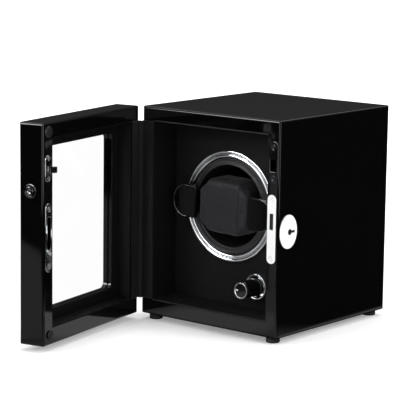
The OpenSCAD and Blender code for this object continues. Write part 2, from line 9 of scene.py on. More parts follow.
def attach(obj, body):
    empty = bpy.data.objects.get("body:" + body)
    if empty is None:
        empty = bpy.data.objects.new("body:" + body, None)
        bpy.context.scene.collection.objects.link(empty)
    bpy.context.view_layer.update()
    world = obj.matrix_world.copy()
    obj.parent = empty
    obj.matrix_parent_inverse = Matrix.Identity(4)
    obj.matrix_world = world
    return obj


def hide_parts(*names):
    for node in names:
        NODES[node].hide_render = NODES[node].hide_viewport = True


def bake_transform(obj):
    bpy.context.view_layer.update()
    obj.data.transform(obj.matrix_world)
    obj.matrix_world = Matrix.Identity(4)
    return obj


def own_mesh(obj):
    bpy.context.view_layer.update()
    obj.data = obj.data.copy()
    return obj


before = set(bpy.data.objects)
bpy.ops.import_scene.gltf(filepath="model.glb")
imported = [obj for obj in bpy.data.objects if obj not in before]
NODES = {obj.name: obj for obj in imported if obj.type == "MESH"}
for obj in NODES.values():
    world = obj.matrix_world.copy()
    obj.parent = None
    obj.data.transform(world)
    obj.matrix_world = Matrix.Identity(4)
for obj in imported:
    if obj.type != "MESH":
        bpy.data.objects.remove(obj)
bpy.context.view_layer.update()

MM = 0.001
SCN = bpy.context.scene

# main lengths of the object in the row frame, in millimetres
AZ = 98.3                      # turntable axis height
YF = -73.5                     # front of the cabinet
PY = -44.5                     # front of the inner panel
HX, HY = -70.8, -74.75         # hinge axis
OPEN = math.radians(79)        # the door stands open this far at rest
TURN = math.radians(2.5)       # the holder sits a little askew in the cup
KX, KZ = 27.0, 36.0            # mode knob
LOCK_Y, LOCK_Z = -61.5, 88.5
COS, SIN = math.cos(OPEN), math.sin(OPEN)


# ------------------------------------------------------------------ mesh helpers
def link(o):
    SCN.collection.objects.link(o)
    return o


def finish_mesh(name, bm, angle=35.0, smooth=True):
    bmesh.ops.remove_doubles(bm, verts=bm.verts, dist=1e-7)
    bmesh.ops.recalc_face_normals(bm, faces=bm.faces)
    me = bpy.data.meshes.new(name)
    bm.to_mesh(me)
    bm.free()
    if smooth:
        me.shade_smooth()
        if angle < 180:
            me.set_sharp_from_angle(angle=math.radians(angle))
    me.update()
    return link(bpy.data.objects.new(name, me))


def bake(o):
    """Applies every modifier, or turns a curve into a mesh."""
    dg = bpy.context.evaluated_depsgraph_get()
    me = bpy.data.meshes.new_from_object(o.evaluated_get(dg), depsgraph=dg)
    if o.type == "MESH":
        o.modifiers.clear()
        o.data = me
        return o
    name, mats = o.name, [m for m in o.data.materials]
    world = o.matrix_world.copy()
    bpy.data.objects.remove(o)
    n = bpy.data.objects.new(name, me)
    n.matrix_world = world
    me.materials.clear()
    for m in mats:
        me.materials.append(m)
    me.shade_smooth()
    return link(n)


def join(name, objs):
    bm = bmesh.new()
    for o in objs:
        me = o.data.copy()
        me.transform(o.matrix_world)
        bm.from_mesh(me)
        bpy.data.meshes.remove(me)
    for o in objs:
        bpy.data.objects.remove(o)
    me = bpy.data.meshes.new(name)
    bm.to_mesh(me)
    bm.free()
    me.shade_smooth()
    me.set_sharp_from_angle(angle=math.radians(35))
    return link(bpy.data.objects.new(name, me))


def fillet(poly, radii, seg=5, closed=True):
    """The polygon with its corners rounded; radii is one number or one for each corner."""
    n = len(poly)
    if not hasattr(radii, "__len__"):
        radii = [radii] * n
    out = []
    for i in range(n):
        p = Vector(poly[i])
        r = radii[i]
        if r <= 0 or (not closed and i in (0, n - 1)):
            out.append(tuple(p))
            continue
        a = (Vector(poly[i - 1]) - p)
        b = (Vector(poly[(i + 1) % n]) - p)
        la, lb = a.length, b.length
        a.normalize(), b.normalize()
        half = a.angle(b) / 2
        if half > math.radians(88):
            out.append(tuple(p))
            continue
        d = min(r / math.tan(half), la * 0.49, lb * 0.49)
        rr = d * math.tan(half)
        c = p + (a + b).normalized() * (rr / math.sin(half))
        s, e = p + a * d - c, p + b * d - c
        ang = s.angle(e)
        sign = 1 if s.x * e.y - s.y * e.x > 0 else -1
        for k in range(seg + 1):
            t = sign * ang * k / seg
            out.append((c.x + s.x * math.cos(t) - s.y * math.sin(t), c.y + s.x * math.sin(t) + s.y * math.cos(t)))
    return out


def lathe(name, prof, cx, cz, n=128, closed=True, to=None, angle=35.0):
    """Revolves (radius, y) round the line along Y through (cx, cz). to maps a point to its place."""
    bm = bmesh.new()
    rings = []
    for r, y in prof:
        if r < 1e-4:
            rings.append([bm.verts.new(((cx) * MM, y * MM, cz * MM))])
        else:
            rings.append([bm.verts.new(((cx + r * math.cos(2 * math.pi * k / n)) * MM, y * MM, (cz + r * math.sin(2 * math.pi * k / n)) * MM)) for k in range(n)])
    m = len(rings)
    for i in range(m if closed else m - 1):
        a, b = rings[i], rings[(i + 1) % m]
        for k in range(n):
            q = []
            for v in (a[k % len(a)], a[(k + 1) % len(a)], b[(k + 1) % len(b)], b[k % len(b)]):
                if v not in q:
                    q.append(v)
            if len(q) > 2:
                bm.faces.new(q)
    if to is not None:
        for v in bm.verts:
            v.co = to(v.co)
    return finish_mesh(name, bm, angle)


def circle(r, n=64, cu=0.0, cv=0.0):
    return [(cu + r * math.cos(2 * math.pi * k / n), cv + r * math.sin(2 * math.pi * k / n)) for k in range(n)]


def rrect(u0, u1, v0, v1, r, seg=10):
    return fillet([(u0, v0), (u1, v0), (u1, v1), (u0, v1)], r, seg)


def inset(loop, d):
    """A closed counter-clockwise loop moved inwards by d."""
    n = len(loop)
    out = []
    for i in range(n):
        p0, p, p1 = Vector(loop[i - 1]), Vector(loop[i]), Vector(loop[(i + 1) % n])
        e0, e1 = (p - p0), (p1 - p)
        if e0.length < 1e-9 or e1.length < 1e-9:
            out.append(tuple(p))
            continue
        e0.normalize(), e1.normalize()
        n0, n1 = Vector((-e0.y, e0.x)), Vector((-e1.y, e1.x))
        b = n0 + n1
        if b.length < 1e-6:
            b = n0.copy()
        b.normalize()
        out.append(tuple(p + b * (d / max(0.35, b.dot(n0)))))
    return out


def plate(name, outer, holes, w0, w1, to, bev=0.2, seg=3, back_bev=None):
    """A plate between w0 and w1 with rounded edges. outer and holes are counter-clockwise loops in (u, v); to(u, v, w) gives millimetres in the row frame."""
    bm = bmesh.new()
    back_bev = bev if back_bev is None else back_bev
    caps = {0: [], 1: []}
    for loop, sign in [(outer, 1)] + [(h, -1) for h in holes]:
        steps = [(w0 + back_bev * (1 - math.cos(math.pi / 2 * k / seg)), back_bev * (1 - math.sin(math.pi / 2 * k / seg))) for k in range(seg + 1)]
        steps += [(w1 - bev * (1 - math.cos(math.pi / 2 * k / seg)), bev * (1 - math.sin(math.pi / 2 * k / seg))) for k in range(seg, -1, -1)]
        rings = []
        for w, d in steps:
            ring = [bm.verts.new(tuple(c * MM for c in to(u, v, w))) for u, v in inset(loop, sign * d)]
            rings.append(ring)
        for a, b in zip(rings, rings[1:]):
            for k in range(len(a)):
                bm.faces.new((a[k], a[(k + 1) % len(a)], b[(k + 1) % len(a)], b[k]))
        for end, ring, w, d in ((0, rings[0], w0, back_bev), (1, rings[-1], w1, bev)):
            flat = [bm.verts.new(tuple(c * MM for c in to(u, v, w))) for u, v in inset(loop, sign * (d + 0.14))]
            for k in range(len(ring)):
                j = (k + 1) % len(ring)
                bm.faces.new((ring[k], ring[j], flat[j], flat[k]))
                caps[end].append(bm.edges.get((flat[k], flat[j])))
    for end in (0, 1):
        bmesh.ops.triangle_fill(bm, use_beauty=True, use_dissolve=False, edges=caps[end])
    return finish_mesh(name, bm, 50)


def soft_box(name, x0, x1, y0, y1, z0, z1, r, seg=3, to=None):
    """A block with rounded edges, in millimetres."""
    bm = bmesh.new()
    bmesh.ops.create_cube(bm, size=1.0)
    for v in bm.verts:
        v.co = Vector(((x0 + x1) / 2 + v.co.x * (x1 - x0), (y0 + y1) / 2 + v.co.y * (y1 - y0), (z0 + z1) / 2 + v.co.z * (z1 - z0))) * MM
    bmesh.ops.bevel(bm, geom=list(bm.edges), offset=r * MM, segments=seg, profile=0.5, affect="EDGES")
    big = sorted(bm.faces, key=lambda f: -f.calc_area())[:6]
    bmesh.ops.inset_individual(bm, faces=big, thickness=0.14 * MM)
    if to is not None:
        for v in bm.verts:
            v.co = to(v.co)
    return finish_mesh(name, bm, 40)


def tube(name, pts, r, closed=False, sides=12, squash_to=None):
    """A round cord through pts, in millimetres, with domed ends."""
    pts = [Vector(p) for p in pts]
    bm = bmesh.new()
    n = len(pts)
    up = None
    rings = []
    for i, p in enumerate(pts):
        if closed:
            t = (pts[(i + 1) % n] - pts[i - 1])
        else:
            t = pts[min(i + 1, n - 1)] - pts[max(i - 1, 0)]
        t.normalize()
        if up is None:
            up = Vector((0, 0, 1)) if abs(t.z) < 0.9 else Vector((1, 0, 0))
        up = (up - t * up.dot(t)).normalized()
        side = t.cross(up)
        rings.append([bm.verts.new((p + (up * math.cos(2 * math.pi * k / sides) + side * math.sin(2 * math.pi * k / sides)) * r) * MM) for k in range(sides)])
    for i in range(n if closed else n - 1):
        a, b = rings[i], rings[(i + 1) % n]
        for k in range(sides):
            bm.faces.new((a[k], a[(k + 1) % sides], b[(k + 1) % sides], b[k]))
    if not closed:
        for ring, end, d in ((rings[0], pts[0], (pts[0] - pts[1]).normalized()), (rings[-1], pts[-1], (pts[-1] - pts[-2]).normalized())):
            c = bm.verts.new((end + d * r * 0.7) * MM)
            mid = [bm.verts.new((end + (v.co / MM - end) * 0.7 + d * r * 0.5) * MM) for v in ring]
            for k in range(sides):
                bm.faces.new((ring[k], ring[(k + 1) % sides], mid[(k + 1) % sides], mid[k]))
                bm.faces.new((mid[k], mid[(k + 1) % sides], c))
    return finish_mesh(name, bm, 180)


def door_point(a, t, z):
    """Door coordinates (from the hinge side, from the inner face, height) at rest, in the row frame."""
    x, y = a + 0.8, -1.25 - t
    return (HX + COS * x + SIN * y, HY - SIN * x + COS * y, z)


def on_door(co):
    """Point drawn as (a, t, z) in metres to its place on the open door."""
    return Vector(door_point(co.x / MM, co.y / MM, co.z / MM)) * MM


def turned(co):
    """Turns a point with the holder, round the turntable's axis."""
    x, z = co.x, co.z - AZ * MM
    c, s = math.cos(TURN), math.sin(TURN)
    return Vector((x * c + z * s, co.y, AZ * MM - x * s + z * c))


# ------------------------------------------------------------------ material helpers
class Mat:
    """One Principled material and a few calls that keep its node tree short."""

    def __init__(self, name, color, rough, metallic=0.0, **sockets):
        self.m = bpy.data.materials.new(name)
        self.m.use_nodes = True
        self.nt = self.m.node_tree
        self.b = self.nt.nodes["Principled BSDF"]
        self.b.inputs["Base Color"].default_value = (*color, 1)
        self.b.inputs["Roughness"].default_value = rough
        self.b.inputs["Metallic"].default_value = metallic
        for k, v in sockets.items():
            self.b.inputs[k.replace("_", " ")].default_value = v
        self.m.diffuse_color = (*color, 1)
        self.tc = self.nt.nodes.new("ShaderNodeTexCoord").outputs["Object"]

    def new(self, kind, **props):
        n = self.nt.nodes.new(kind)
        for k, v in props.items():
            setattr(n, k, v)
        return n

    def put(self, a, b):
        self.nt.links.new(a, b)

    def noise(self, scale, detail=3.0, rough=0.5, vec=None, distortion=0.0):
        n = self.new("ShaderNodeTexNoise")
        n.inputs["Scale"].default_value = scale
        n.inputs["Detail"].default_value = detail
        n.inputs["Roughness"].default_value = rough
        n.inputs["Distortion"].default_value = distortion
        self.put(vec or self.tc, n.inputs["Vector"])
        return n.outputs["Fac"]

    def voronoi(self, scale, feature="DISTANCE_TO_EDGE", vec=None, out="Distance", random=1.0):
        n = self.new("ShaderNodeTexVoronoi", feature=feature)
        n.inputs["Scale"].default_value = scale
        n.inputs["Randomness"].default_value = random
        self.put(vec or self.tc, n.inputs["Vector"])
        return n.outputs[out]

    def stretch(self, x, y, z, vec=None, rot=(0, 0, 0)):
        n = self.new("ShaderNodeMapping")
        n.inputs["Scale"].default_value = (x, y, z)
        n.inputs["Rotation"].default_value = rot
        self.put(vec or self.tc, n.inputs["Vector"])
        return n.outputs["Vector"]

    def ramp(self, fac, lo, hi, to_lo=0.0, to_hi=1.0, kind="LINEAR"):
        n = self.new("ShaderNodeMapRange", interpolation_type=kind)
        for k, v in zip(("From Min", "From Max", "To Min", "To Max"), (lo, hi, to_lo, to_hi)):
            n.inputs[k].default_value = v
        self.put(fac, n.inputs["Value"])
        return n.outputs["Result"]

    def math(self, op, a, b=None):
        n = self.new("ShaderNodeMath", operation=op)
        for i, v in enumerate((a, b)):
            if v is None:
                continue
            if isinstance(v, (int, float)):
                n.inputs[i].default_value = v
            else:
                self.put(v, n.inputs[i])
        return n.outputs[0]

    def mix(self, fac, c0, c1):
        n = self.new("ShaderNodeMix", data_type="RGBA")
        self.put(fac, n.inputs["Factor"])
        for sock, c in ((n.inputs[6], c0), (n.inputs[7], c1)):
            if hasattr(c, "default_value"):
                self.put(c, sock)
            else:
                sock.default_value = (*c, 1)
        return n.outputs[2]

    def color(self, out):
        self.put(out, self.b.inputs["Base Color"])
        return self

    def rough(self, out):
        self.put(out, self.b.inputs["Roughness"])
        return self

    def bump(self, *layers):
        """layers: (height output, distance in metres, strength)."""
        last = None
        for h, dist, strength in layers:
            n = self.new("ShaderNodeBump")
            n.inputs["Strength"].default_value = strength
            n.inputs["Distance"].default_value = dist
            self.put(h, n.inputs["Height"])
            if last is not None:
                self.put(last, n.inputs["Normal"])
            last = n.outputs["Normal"]
        self.put(last, self.b.inputs["Normal"])
        return self


def make_lacquer():
    # deep black clear lacquer: slight orange peel, faint polishing haze, a little dust
    m = Mat("lacquer_black", (0.0011, 0.0011, 0.0012), 0.05, IOR=1.5)
    haze = m.noise(28, 4, 0.6)
    fine = m.noise(900, 2, 0.5)
    m.rough(m.math("ADD", m.ramp(haze, 0.35, 0.7, 0.03, 0.075), m.ramp(fine, 0.3, 0.7, 0.0, 0.015)))
    dust = m.ramp(m.noise(2600, 1, 0.4), 0.74, 0.8, 0.0, 1.0)
    m.color(m.mix(dust, (0.0011, 0.0011, 0.0012), (0.006, 0.006, 0.0062)))
    m.bump((m.noise(140, 2, 0.4), 0.000012, 0.2))
    return m.m


def make_leatherette(name, color, grain=1050, rough=0.46, depth=0.00009, sheen=0.05):
    m = Mat(name, color, rough, Sheen_Weight=sheen, Sheen_Roughness=0.45)
    m.b.inputs["Specular IOR Level"].default_value = 0.2
    wob = m.new("ShaderNodeVectorMath", operation="MULTIPLY_ADD")
    nz = m.new("ShaderNodeTexNoise")
    nz.inputs["Scale"].default_value = 420
    nz.inputs["Detail"].default_value = 2
    m.put(m.tc, nz.inputs["Vector"])
    m.put(nz.outputs["Color"], wob.inputs[0])
    wob.inputs[1].default_value = (0.0011, 0.0011, 0.0011)
    m.put(m.tc, wob.inputs[2])
    cells = m.voronoi(grain, vec=wob.outputs[0])
    small = m.voronoi(grain * 2.3, vec=wob.outputs[0])
    tops = m.ramp(cells, 0.02, 0.3, 0.0, 1.0, "SMOOTHSTEP")
    fines = m.ramp(small, 0.02, 0.35, 0.0, 1.0, "SMOOTHSTEP")
    broad = m.noise(75, 4, 0.55)
    dark = tuple(c * 0.55 for c in color)
    lit = tuple(c * 1.25 for c in color)
    shade = m.mix(tops, dark, color)
    mott = m.new("ShaderNodeMix", data_type="RGBA", blend_type="MIX")
    m.put(m.ramp(broad, 0.35, 0.75), mott.inputs["Factor"])
    m.put(shade, mott.inputs[6])
    mott.inputs[7].default_value = (*lit, 1)
    m.color(m.mix(m.ramp(tops, 0, 1, 0.25, 1.0), shade, mott.outputs[2]))
    m.rough(m.math("ADD", m.ramp(tops, 0, 1, rough + 0.22, rough), m.ramp(broad, 0.3, 0.7, -0.04, 0.06)))
    m.bump((tops, depth, 0.55), (fines, depth * 0.45, 0.4), (broad, 0.00025, 0.18))
    return m.m


def make_plastic(name, color, rough, tex=1600, depth=0.00002, coat=0.0):
    m = Mat(name, color, rough, Coat_Weight=coat, Coat_Roughness=0.06)
    n = m.noise(tex, 3, 0.6)
    b = m.noise(60, 3, 0.5)
    m.rough(m.math("ADD", m.ramp(n, 0.3, 0.7, rough * 0.85, rough * 1.15), m.ramp(b, 0.3, 0.7, -0.03, 0.05)))
    m.color(m.mix(m.ramp(b, 0.3, 0.75), tuple(c * 0.85 for c in color), tuple(min(1, c * 1.2) for c in color)))
    m.bump((n, depth, 0.35))
    return m.m


def make_metal(name, color, rough, scratch=0.03, tint=0.9, bump=0.000006):
    # polished plate: soft wipe marks and a few fine scratches
    m = Mat(name, color, rough, metallic=1.0)
    wipe = m.noise(45, 4, 0.6)
    lines = m.noise(420, 3, 0.6, vec=m.stretch(1.0, 1.0, 14.0))
    cross = m.noise(500, 3, 0.6, vec=m.stretch(12.0, 1.0, 1.0))
    marks = m.math("ADD", m.ramp(lines, 0.52, 0.72, 0.0, scratch), m.ramp(cross, 0.55, 0.75, 0.0, scratch))
    m.rough(m.math("ADD", m.ramp(wipe, 0.3, 0.7, rough * 0.75, rough * 1.35), marks))
    m.color(m.mix(m.ramp(wipe, 0.35, 0.7), color, tuple(c * tint for c in color)))
    m.bump((m.noise(260, 2, 0.5), bump, 0.2))
    return m.m


def make_brushed(name, color, rough):
    m = Mat(name, color, rough, metallic=1.0)
    grain = m.noise(900, 4, 0.7, vec=m.stretch(1.0, 1.0, 0.04))
    m.rough(m.ramp(grain, 0.3, 0.7, rough * 0.7, rough * 1.3))
    m.color(m.mix(m.ramp(grain, 0.3, 0.7), tuple(c * 0.82 for c in color), color))
    m.bump((grain, 0.00001, 0.3))
    return m.m


def make_glass():
    m = Mat("window_glass", (1.0, 1.0, 1.0), 0.0, IOR=1.22, Transmission_Weight=1.0)
    smear = m.noise(35, 4, 0.6)
    m.rough(m.ramp(smear, 0.45, 0.8, 0.0, 0.02))
    return m.m


def make_rubber(name, color, rough=0.7):
    m = Mat(name, color, rough)
    n = m.noise(1200, 4, 0.7)
    v = m.voronoi(1500)
    m.color(m.mix(m.ramp(n, 0.3, 0.7), tuple(c * 0.7 for c in color), tuple(c * 1.3 for c in color)))
    m.rough(m.ramp(n, 0.3, 0.7, rough - 0.08, rough + 0.08))
    m.bump((v, 0.00003, 0.4), (n, 0.00003, 0.3))
    return m.m


def make_board():
    m = Mat("circuit_board", (0.01, 0.09, 0.04), 0.35, Coat_Weight=0.4, Coat_Roughness=0.15)
    lines = m.voronoi(260, vec=m.stretch(1, 1, 1), random=0.15)
    track = m.ramp(lines, 0.03, 0.06, 1.0, 0.0)
    m.color(m.mix(track, (0.008, 0.075, 0.032), (0.03, 0.2, 0.08)))
    m.rough(m.ramp(m.noise(300, 3), 0.3, 0.7, 0.3, 0.45))
    m.bump((track, 0.00004, 0.4))
    return m.m


LACQUER = make_lacquer()
LEATHER = make_leatherette("leatherette_black", (0.0032, 0.0032, 0.0035), rough=0.5, sheen=0.004)
STRIP = make_leatherette("leatherette_strip", (0.0064, 0.0064, 0.0069), grain=1150, rough=0.4)
CUSHION = make_leatherette("cushion_leather", (0.024, 0.024, 0.0275), grain=1500, rough=0.36, depth=0.00005, sheen=0.1)
PIPING = make_leatherette("piping_leather", (0.02, 0.02, 0.021), grain=1700, rough=0.34, depth=0.00004)
CUP_PLASTIC = make_plastic("cup_plastic", (0.017, 0.017, 0.019), 0.42)
FRAME_PLASTIC = make_plastic("frame_plastic", (0.014, 0.014, 0.016), 0.5)
EAR_RIM = make_metal("ear_rim", (0.2, 0.2, 0.21), 0.12)
EAR_PLASTIC = make_plastic("ear_plastic", (0.0016, 0.0016, 0.0017), 0.16, coat=0.0)
EAR_PLASTIC.node_tree.nodes["Principled BSDF"].inputs["Specular IOR Level"].default_value = 0.2
KNOB_PLASTIC = make_plastic("knob_plastic", (0.006, 0.006, 0.0065), 0.1, depth=0.000006, coat=0.5)
GEAR_PLASTIC = make_plastic("gear_plastic", (0.62, 0.59, 0.5), 0.42)
CHROME = make_metal("chrome", (0.88, 0.89, 0.91), 0.055)
# near-black colour of the plug in the keyhole: painted shade of the keyhole's dark inside
KEYHOLE_SHADE = make_plastic("keyhole_shade_plug", (0.004, 0.004, 0.0042), 0.35)
NICKEL = make_metal("satin_nickel", (0.93, 0.93, 0.94), 0.3, scratch=0.05, tint=0.96)
NICKEL.node_tree.nodes["Principled BSDF"].inputs["Metallic"].default_value = 0.12
MID_CHROME = make_metal("button_chrome", (0.24, 0.24, 0.25), 0.07)
DARK_CHROME = make_metal("dark_chrome", (0.13, 0.13, 0.14), 0.09)
STEEL = make_brushed("steel", (0.52, 0.53, 0.55), 0.3)
BRASS = make_brushed("brass", (0.62, 0.46, 0.2), 0.3)
BOARD = make_board()
GLASS = make_glass()
RUBBER = make_rubber("rubber_black", (0.008, 0.008, 0.008), 0.6)
RUBBER_GREY = make_rubber("rubber_grey", (0.05, 0.05, 0.052), 0.6)
WHITE = make_plastic("white_mark", (0.82, 0.82, 0.8), 0.4)
PAINT = make_plastic("back_paint", (0.006, 0.006, 0.0065), 0.38, tex=700, depth=0.00004)

FINISH = {
    "lacquer": (LACQUER, "cabinet_shell door_frame window_trim"),
    "leatherette": (LEATHER, "liner_left liner_right liner_top liner_floor front_panel hinge_cover door_liner"),
    "cushion": (CUSHION, "holder_pad"),
    "black_plastic": (FRAME_PLASTIC, "drive_frame drive_posts switch_body dc_jack cup_hub"),
    "cup": (CUP_PLASTIC, "cup"),
    "satin_plastic": (EAR_PLASTIC, "holder_frame"),
    "knob_plastic": (KNOB_PLASTIC, "knob"),
    "gear_plastic": (GEAR_PLASTIC, "main_gear pinion"),
    "chrome": (CHROME, "ring_bezel lock_faceplate lock_screws lock_escutcheon lock_bolt knob_bezel knob_ring strike_plate strike_screws catch_plate catch_screws catch_hook button_bezel"),
    "dark_chrome": (DARK_CHROME, "keeper_plate keeper_screws push_button"),
    "steel": (STEEL, "rear_panel_screws drive_frame_screws gearmotor gearmotor_screws lock_case foot_screws hinge_pin spindle output_shaft switch_shaft switch_nut dc_jack_nut button_spring spindle_collar"),
    "brass": (BRASS, "spindle_bush hinge_leaf_body hinge_leaf_door hinge_screws_body hinge_screws_door"),
    "circuit": (BOARD, "control_board"),
    "glass": (GLASS, "window_pane"),
    "rubber": (RUBBER, "feet door_bumpers"),
    "white_mark": (WHITE, "knob_pointer"),
    "paint": (PAINT, "rear_panel"),
}
for _m, _names in FINISH.values():
    for _n in _names.split():
        _o = NODES[_n]
        if not _o.material_slots:
            _o.data.materials.append(_m)
        for _s in _o.material_slots:
            _s.material = _m
# the bolt in its slot is dark: painted shade, the darker chrome standing in for the shade of the slot
for _s in NODES["lock_bolt"].material_slots:
    _s.material = DARK_CHROME


def piece(o, material, body, slot, *nodes):
    o.data.materials.clear()
    o.data.materials.append(material)
    if body:
        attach(o, body)
    if nodes:
        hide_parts(*nodes)
    return o


# ------------------------------------------------------------------ camera, at the photograph's angle
def make_camera():
    fwd = Vector((-0.62875, 0.75954, -0.16664)).normalized()
    right = fwd.cross(Vector((0, 0, 1))).normalized()
    up = right.cross(fwd)
    roll = math.radians(0.75)
    cx = math.cos(roll) * right + math.sin(roll) * up
    cy = -math.sin(roll) * right + math.cos(roll) * up
    cam = bpy.data.cameras.new("camera")
    o = link(bpy.data.objects.new("camera", cam))
    rot = Matrix((cx, cy, -fwd)).transposed().to_4x4()
    o.matrix_world = Matrix.Translation((0.94519, -1.22591, 0.35842)) @ rot
    cam.lens = 172.1
    cam.sensor_width = 36
    cam.clip_start, cam.clip_end = 0.01, 50
    cam.dof.use_dof = False
    SCN.camera = o


make_camera()


# ------------------------------------------------------------------ stage: pale floor, soft light
def make_floor():
    me = bpy.data.meshes.new("floor")
    s = 9.0
    me.from_pydata([(-s, -s, 0), (s, -s, 0), (s, s, 0), (-s, s, 0)], [], [(0, 1, 2, 3)])
    o = link(bpy.data.objects.new("floor", me))
    m = Mat("floor_white", (0.93, 0.93, 0.93), 0.9)
    m.b.inputs["Specular IOR Level"].default_value = 0.0
    m.b.inputs["Emission Color"].default_value = (1, 1, 1, 1)
    # the table glows from below as well; its glow is painted weaker round the object, a painted shadow where its shadow
    # falls
    far = m.new("ShaderNodeVectorMath", operation="LENGTH")
    m.put(m.tc, far.inputs[0])
    m.put(m.ramp(far.outputs["Value"], 0.20, 0.75, 0.26, 1.0), m.b.inputs["Emission Strength"])
    n = m.noise(6, 3, 0.5)
    m.color(m.mix(n, (0.925, 0.925, 0.925), (0.94, 0.94, 0.94)))
    me.materials.append(m.m)
    o.visible_glossy = False
    o.visible_transmission = False
    # painted reflection of the white table: a glowing plane that only reflections see, with a painted pool of light
    # round the object, darker further off
    me = bpy.data.meshes.new("painted_floor_reflection")
    s = 0.62
    me.from_pydata([(-s - 0.4, -s - 0.2, -0.0006), (s, -s - 0.2, -0.0006), (s, s, -0.0006), (-s - 0.4, s, -0.0006)], [], [(0, 1, 2, 3)])
    g = link(bpy.data.objects.new("painted_floor_reflection", me))
    mat = bpy.data.materials.new("painted_floor_reflection")
    mat.use_nodes = True
    nt = mat.node_tree
    nt.nodes.clear()
    tc = nt.nodes.new("ShaderNodeTexCoord")

    def blob(cx, cy, r0, r1, sx=1.0, sy=1.0):
        mp = nt.nodes.new("ShaderNodeMapping")
        mp.vector_type = "POINT"
        mp.inputs["Location"].default_value = (-cx * sx, -cy * sy, 0)
        mp.inputs["Scale"].default_value = (sx, sy, 0)
        nt.links.new(tc.outputs["Object"], mp.inputs["Vector"])
        ln = nt.nodes.new("ShaderNodeVectorMath")
        ln.operation = "LENGTH"
        nt.links.new(mp.outputs["Vector"], ln.inputs[0])
        mr = nt.nodes.new("ShaderNodeMapRange")
        mr.interpolation_type = "SMOOTHSTEP"
        for k, v in zip(("From Min", "From Max", "To Min", "To Max"), (r1, r0, 0.0, 1.0)):
            mr.inputs[k].default_value = v
        nt.links.new(ln.outputs["Value"], mr.inputs["Value"])
        return mr.outputs["Result"]

    def math_(op, a, b):
        n = nt.nodes.new("ShaderNodeMath")
        n.operation = op
        for i, v in enumerate((a, b)):
            if isinstance(v, (int, float)):
                n.inputs[i].default_value = v
            else:
                nt.links.new(v, n.inputs[i])
        return n.outputs[0]

    def band(axis, half, soft):
        sp = nt.nodes.new("ShaderNodeSeparateXYZ")
        nt.links.new(tc.outputs["Object"], sp.inputs[0])
        mr = nt.nodes.new("ShaderNodeMapRange")
        mr.interpolation_type = "SMOOTHSTEP"
        for k, v in zip(("From Min", "From Max", "To Min", "To Max"), (half + soft, half, 0.0, 1.0)):
            mr.inputs[k].default_value = v
        nt.links.new(math_("ABSOLUTE", sp.outputs[axis], 0.0), mr.inputs["Value"])
        return mr.outputs["Result"]

    def half(axis, lo, hi):
        sp = nt.nodes.new("ShaderNodeSeparateXYZ")
        nt.links.new(tc.outputs["Object"], sp.inputs[0])
        mr = nt.nodes.new("ShaderNodeMapRange")
        mr.interpolation_type = "SMOOTHSTEP"
        for k, v in zip(("From Min", "From Max", "To Min", "To Max"), (lo, hi, 0.0, 1.0)):
            mr.inputs[k].default_value = v
        nt.links.new(sp.outputs[axis], mr.inputs["Value"])
        return mr.outputs["Result"]

    total = math_("MULTIPLY", blob(-0.507, -0.36, 0.37, 0.385), 0.37)
    total = math_("MAXIMUM", total, math_("MULTIPLY", blob(-0.13, -0.36, 0.115, 0.127), 0.37))
    total = math_("MAXIMUM", total, math_("MULTIPLY", blob(-0.02, -0.13, 0.10, 0.19), 0.36))
    total = math_("MAXIMUM", total, math_("MULTIPLY", blob(-0.02, -0.11, 0.035, 0.09), 0.66))
    # painted light on the table beside the right-hand wall, painted shade on the table under the cabinet
    side = math_("MULTIPLY", half(0, 0.0735, 0.078), half(0, 0.094, 0.084))
    total = math_("MAXIMUM", total, math_("MULTIPLY", side, 0.85))
    under = math_("MULTIPLY", band(0, 0.072, 0.003), band(1, 0.078, 0.004))
    total = math_("MULTIPLY", total, math_("SUBTRACT", 1.0, math_("MULTIPLY", under, 0.95)))
    total = math_("MAXIMUM", total, math_("MULTIPLY", blob(-0.40, -0.10, 0.16, 0.27), 0.85))
    total = math_("MAXIMUM", total, 0.010)
    em = nt.nodes.new("ShaderNodeEmission")
    nt.links.new(total, em.inputs["Strength"])
    out = nt.nodes.new("ShaderNodeOutputMaterial")
    clear = nt.nodes.new("ShaderNodeBsdfTransparent")
    pick = nt.nodes.new("ShaderNodeMixShader")
    lp = nt.nodes.new("ShaderNodeLightPath")
    nt.links.new(math_("GREATER_THAN", lp.outputs["Glossy Depth"], 0.5), pick.inputs[0])
    nt.links.new(clear.outputs[0], pick.inputs[1])
    nt.links.new(em.outputs[0], pick.inputs[2])
    nt.links.new(pick.outputs[0], out.inputs["Surface"])
    me.materials.append(mat)
    g.visible_camera = False
    g.visible_diffuse = False
    g.visible_shadow = False
    g.visible_volume_scatter = False


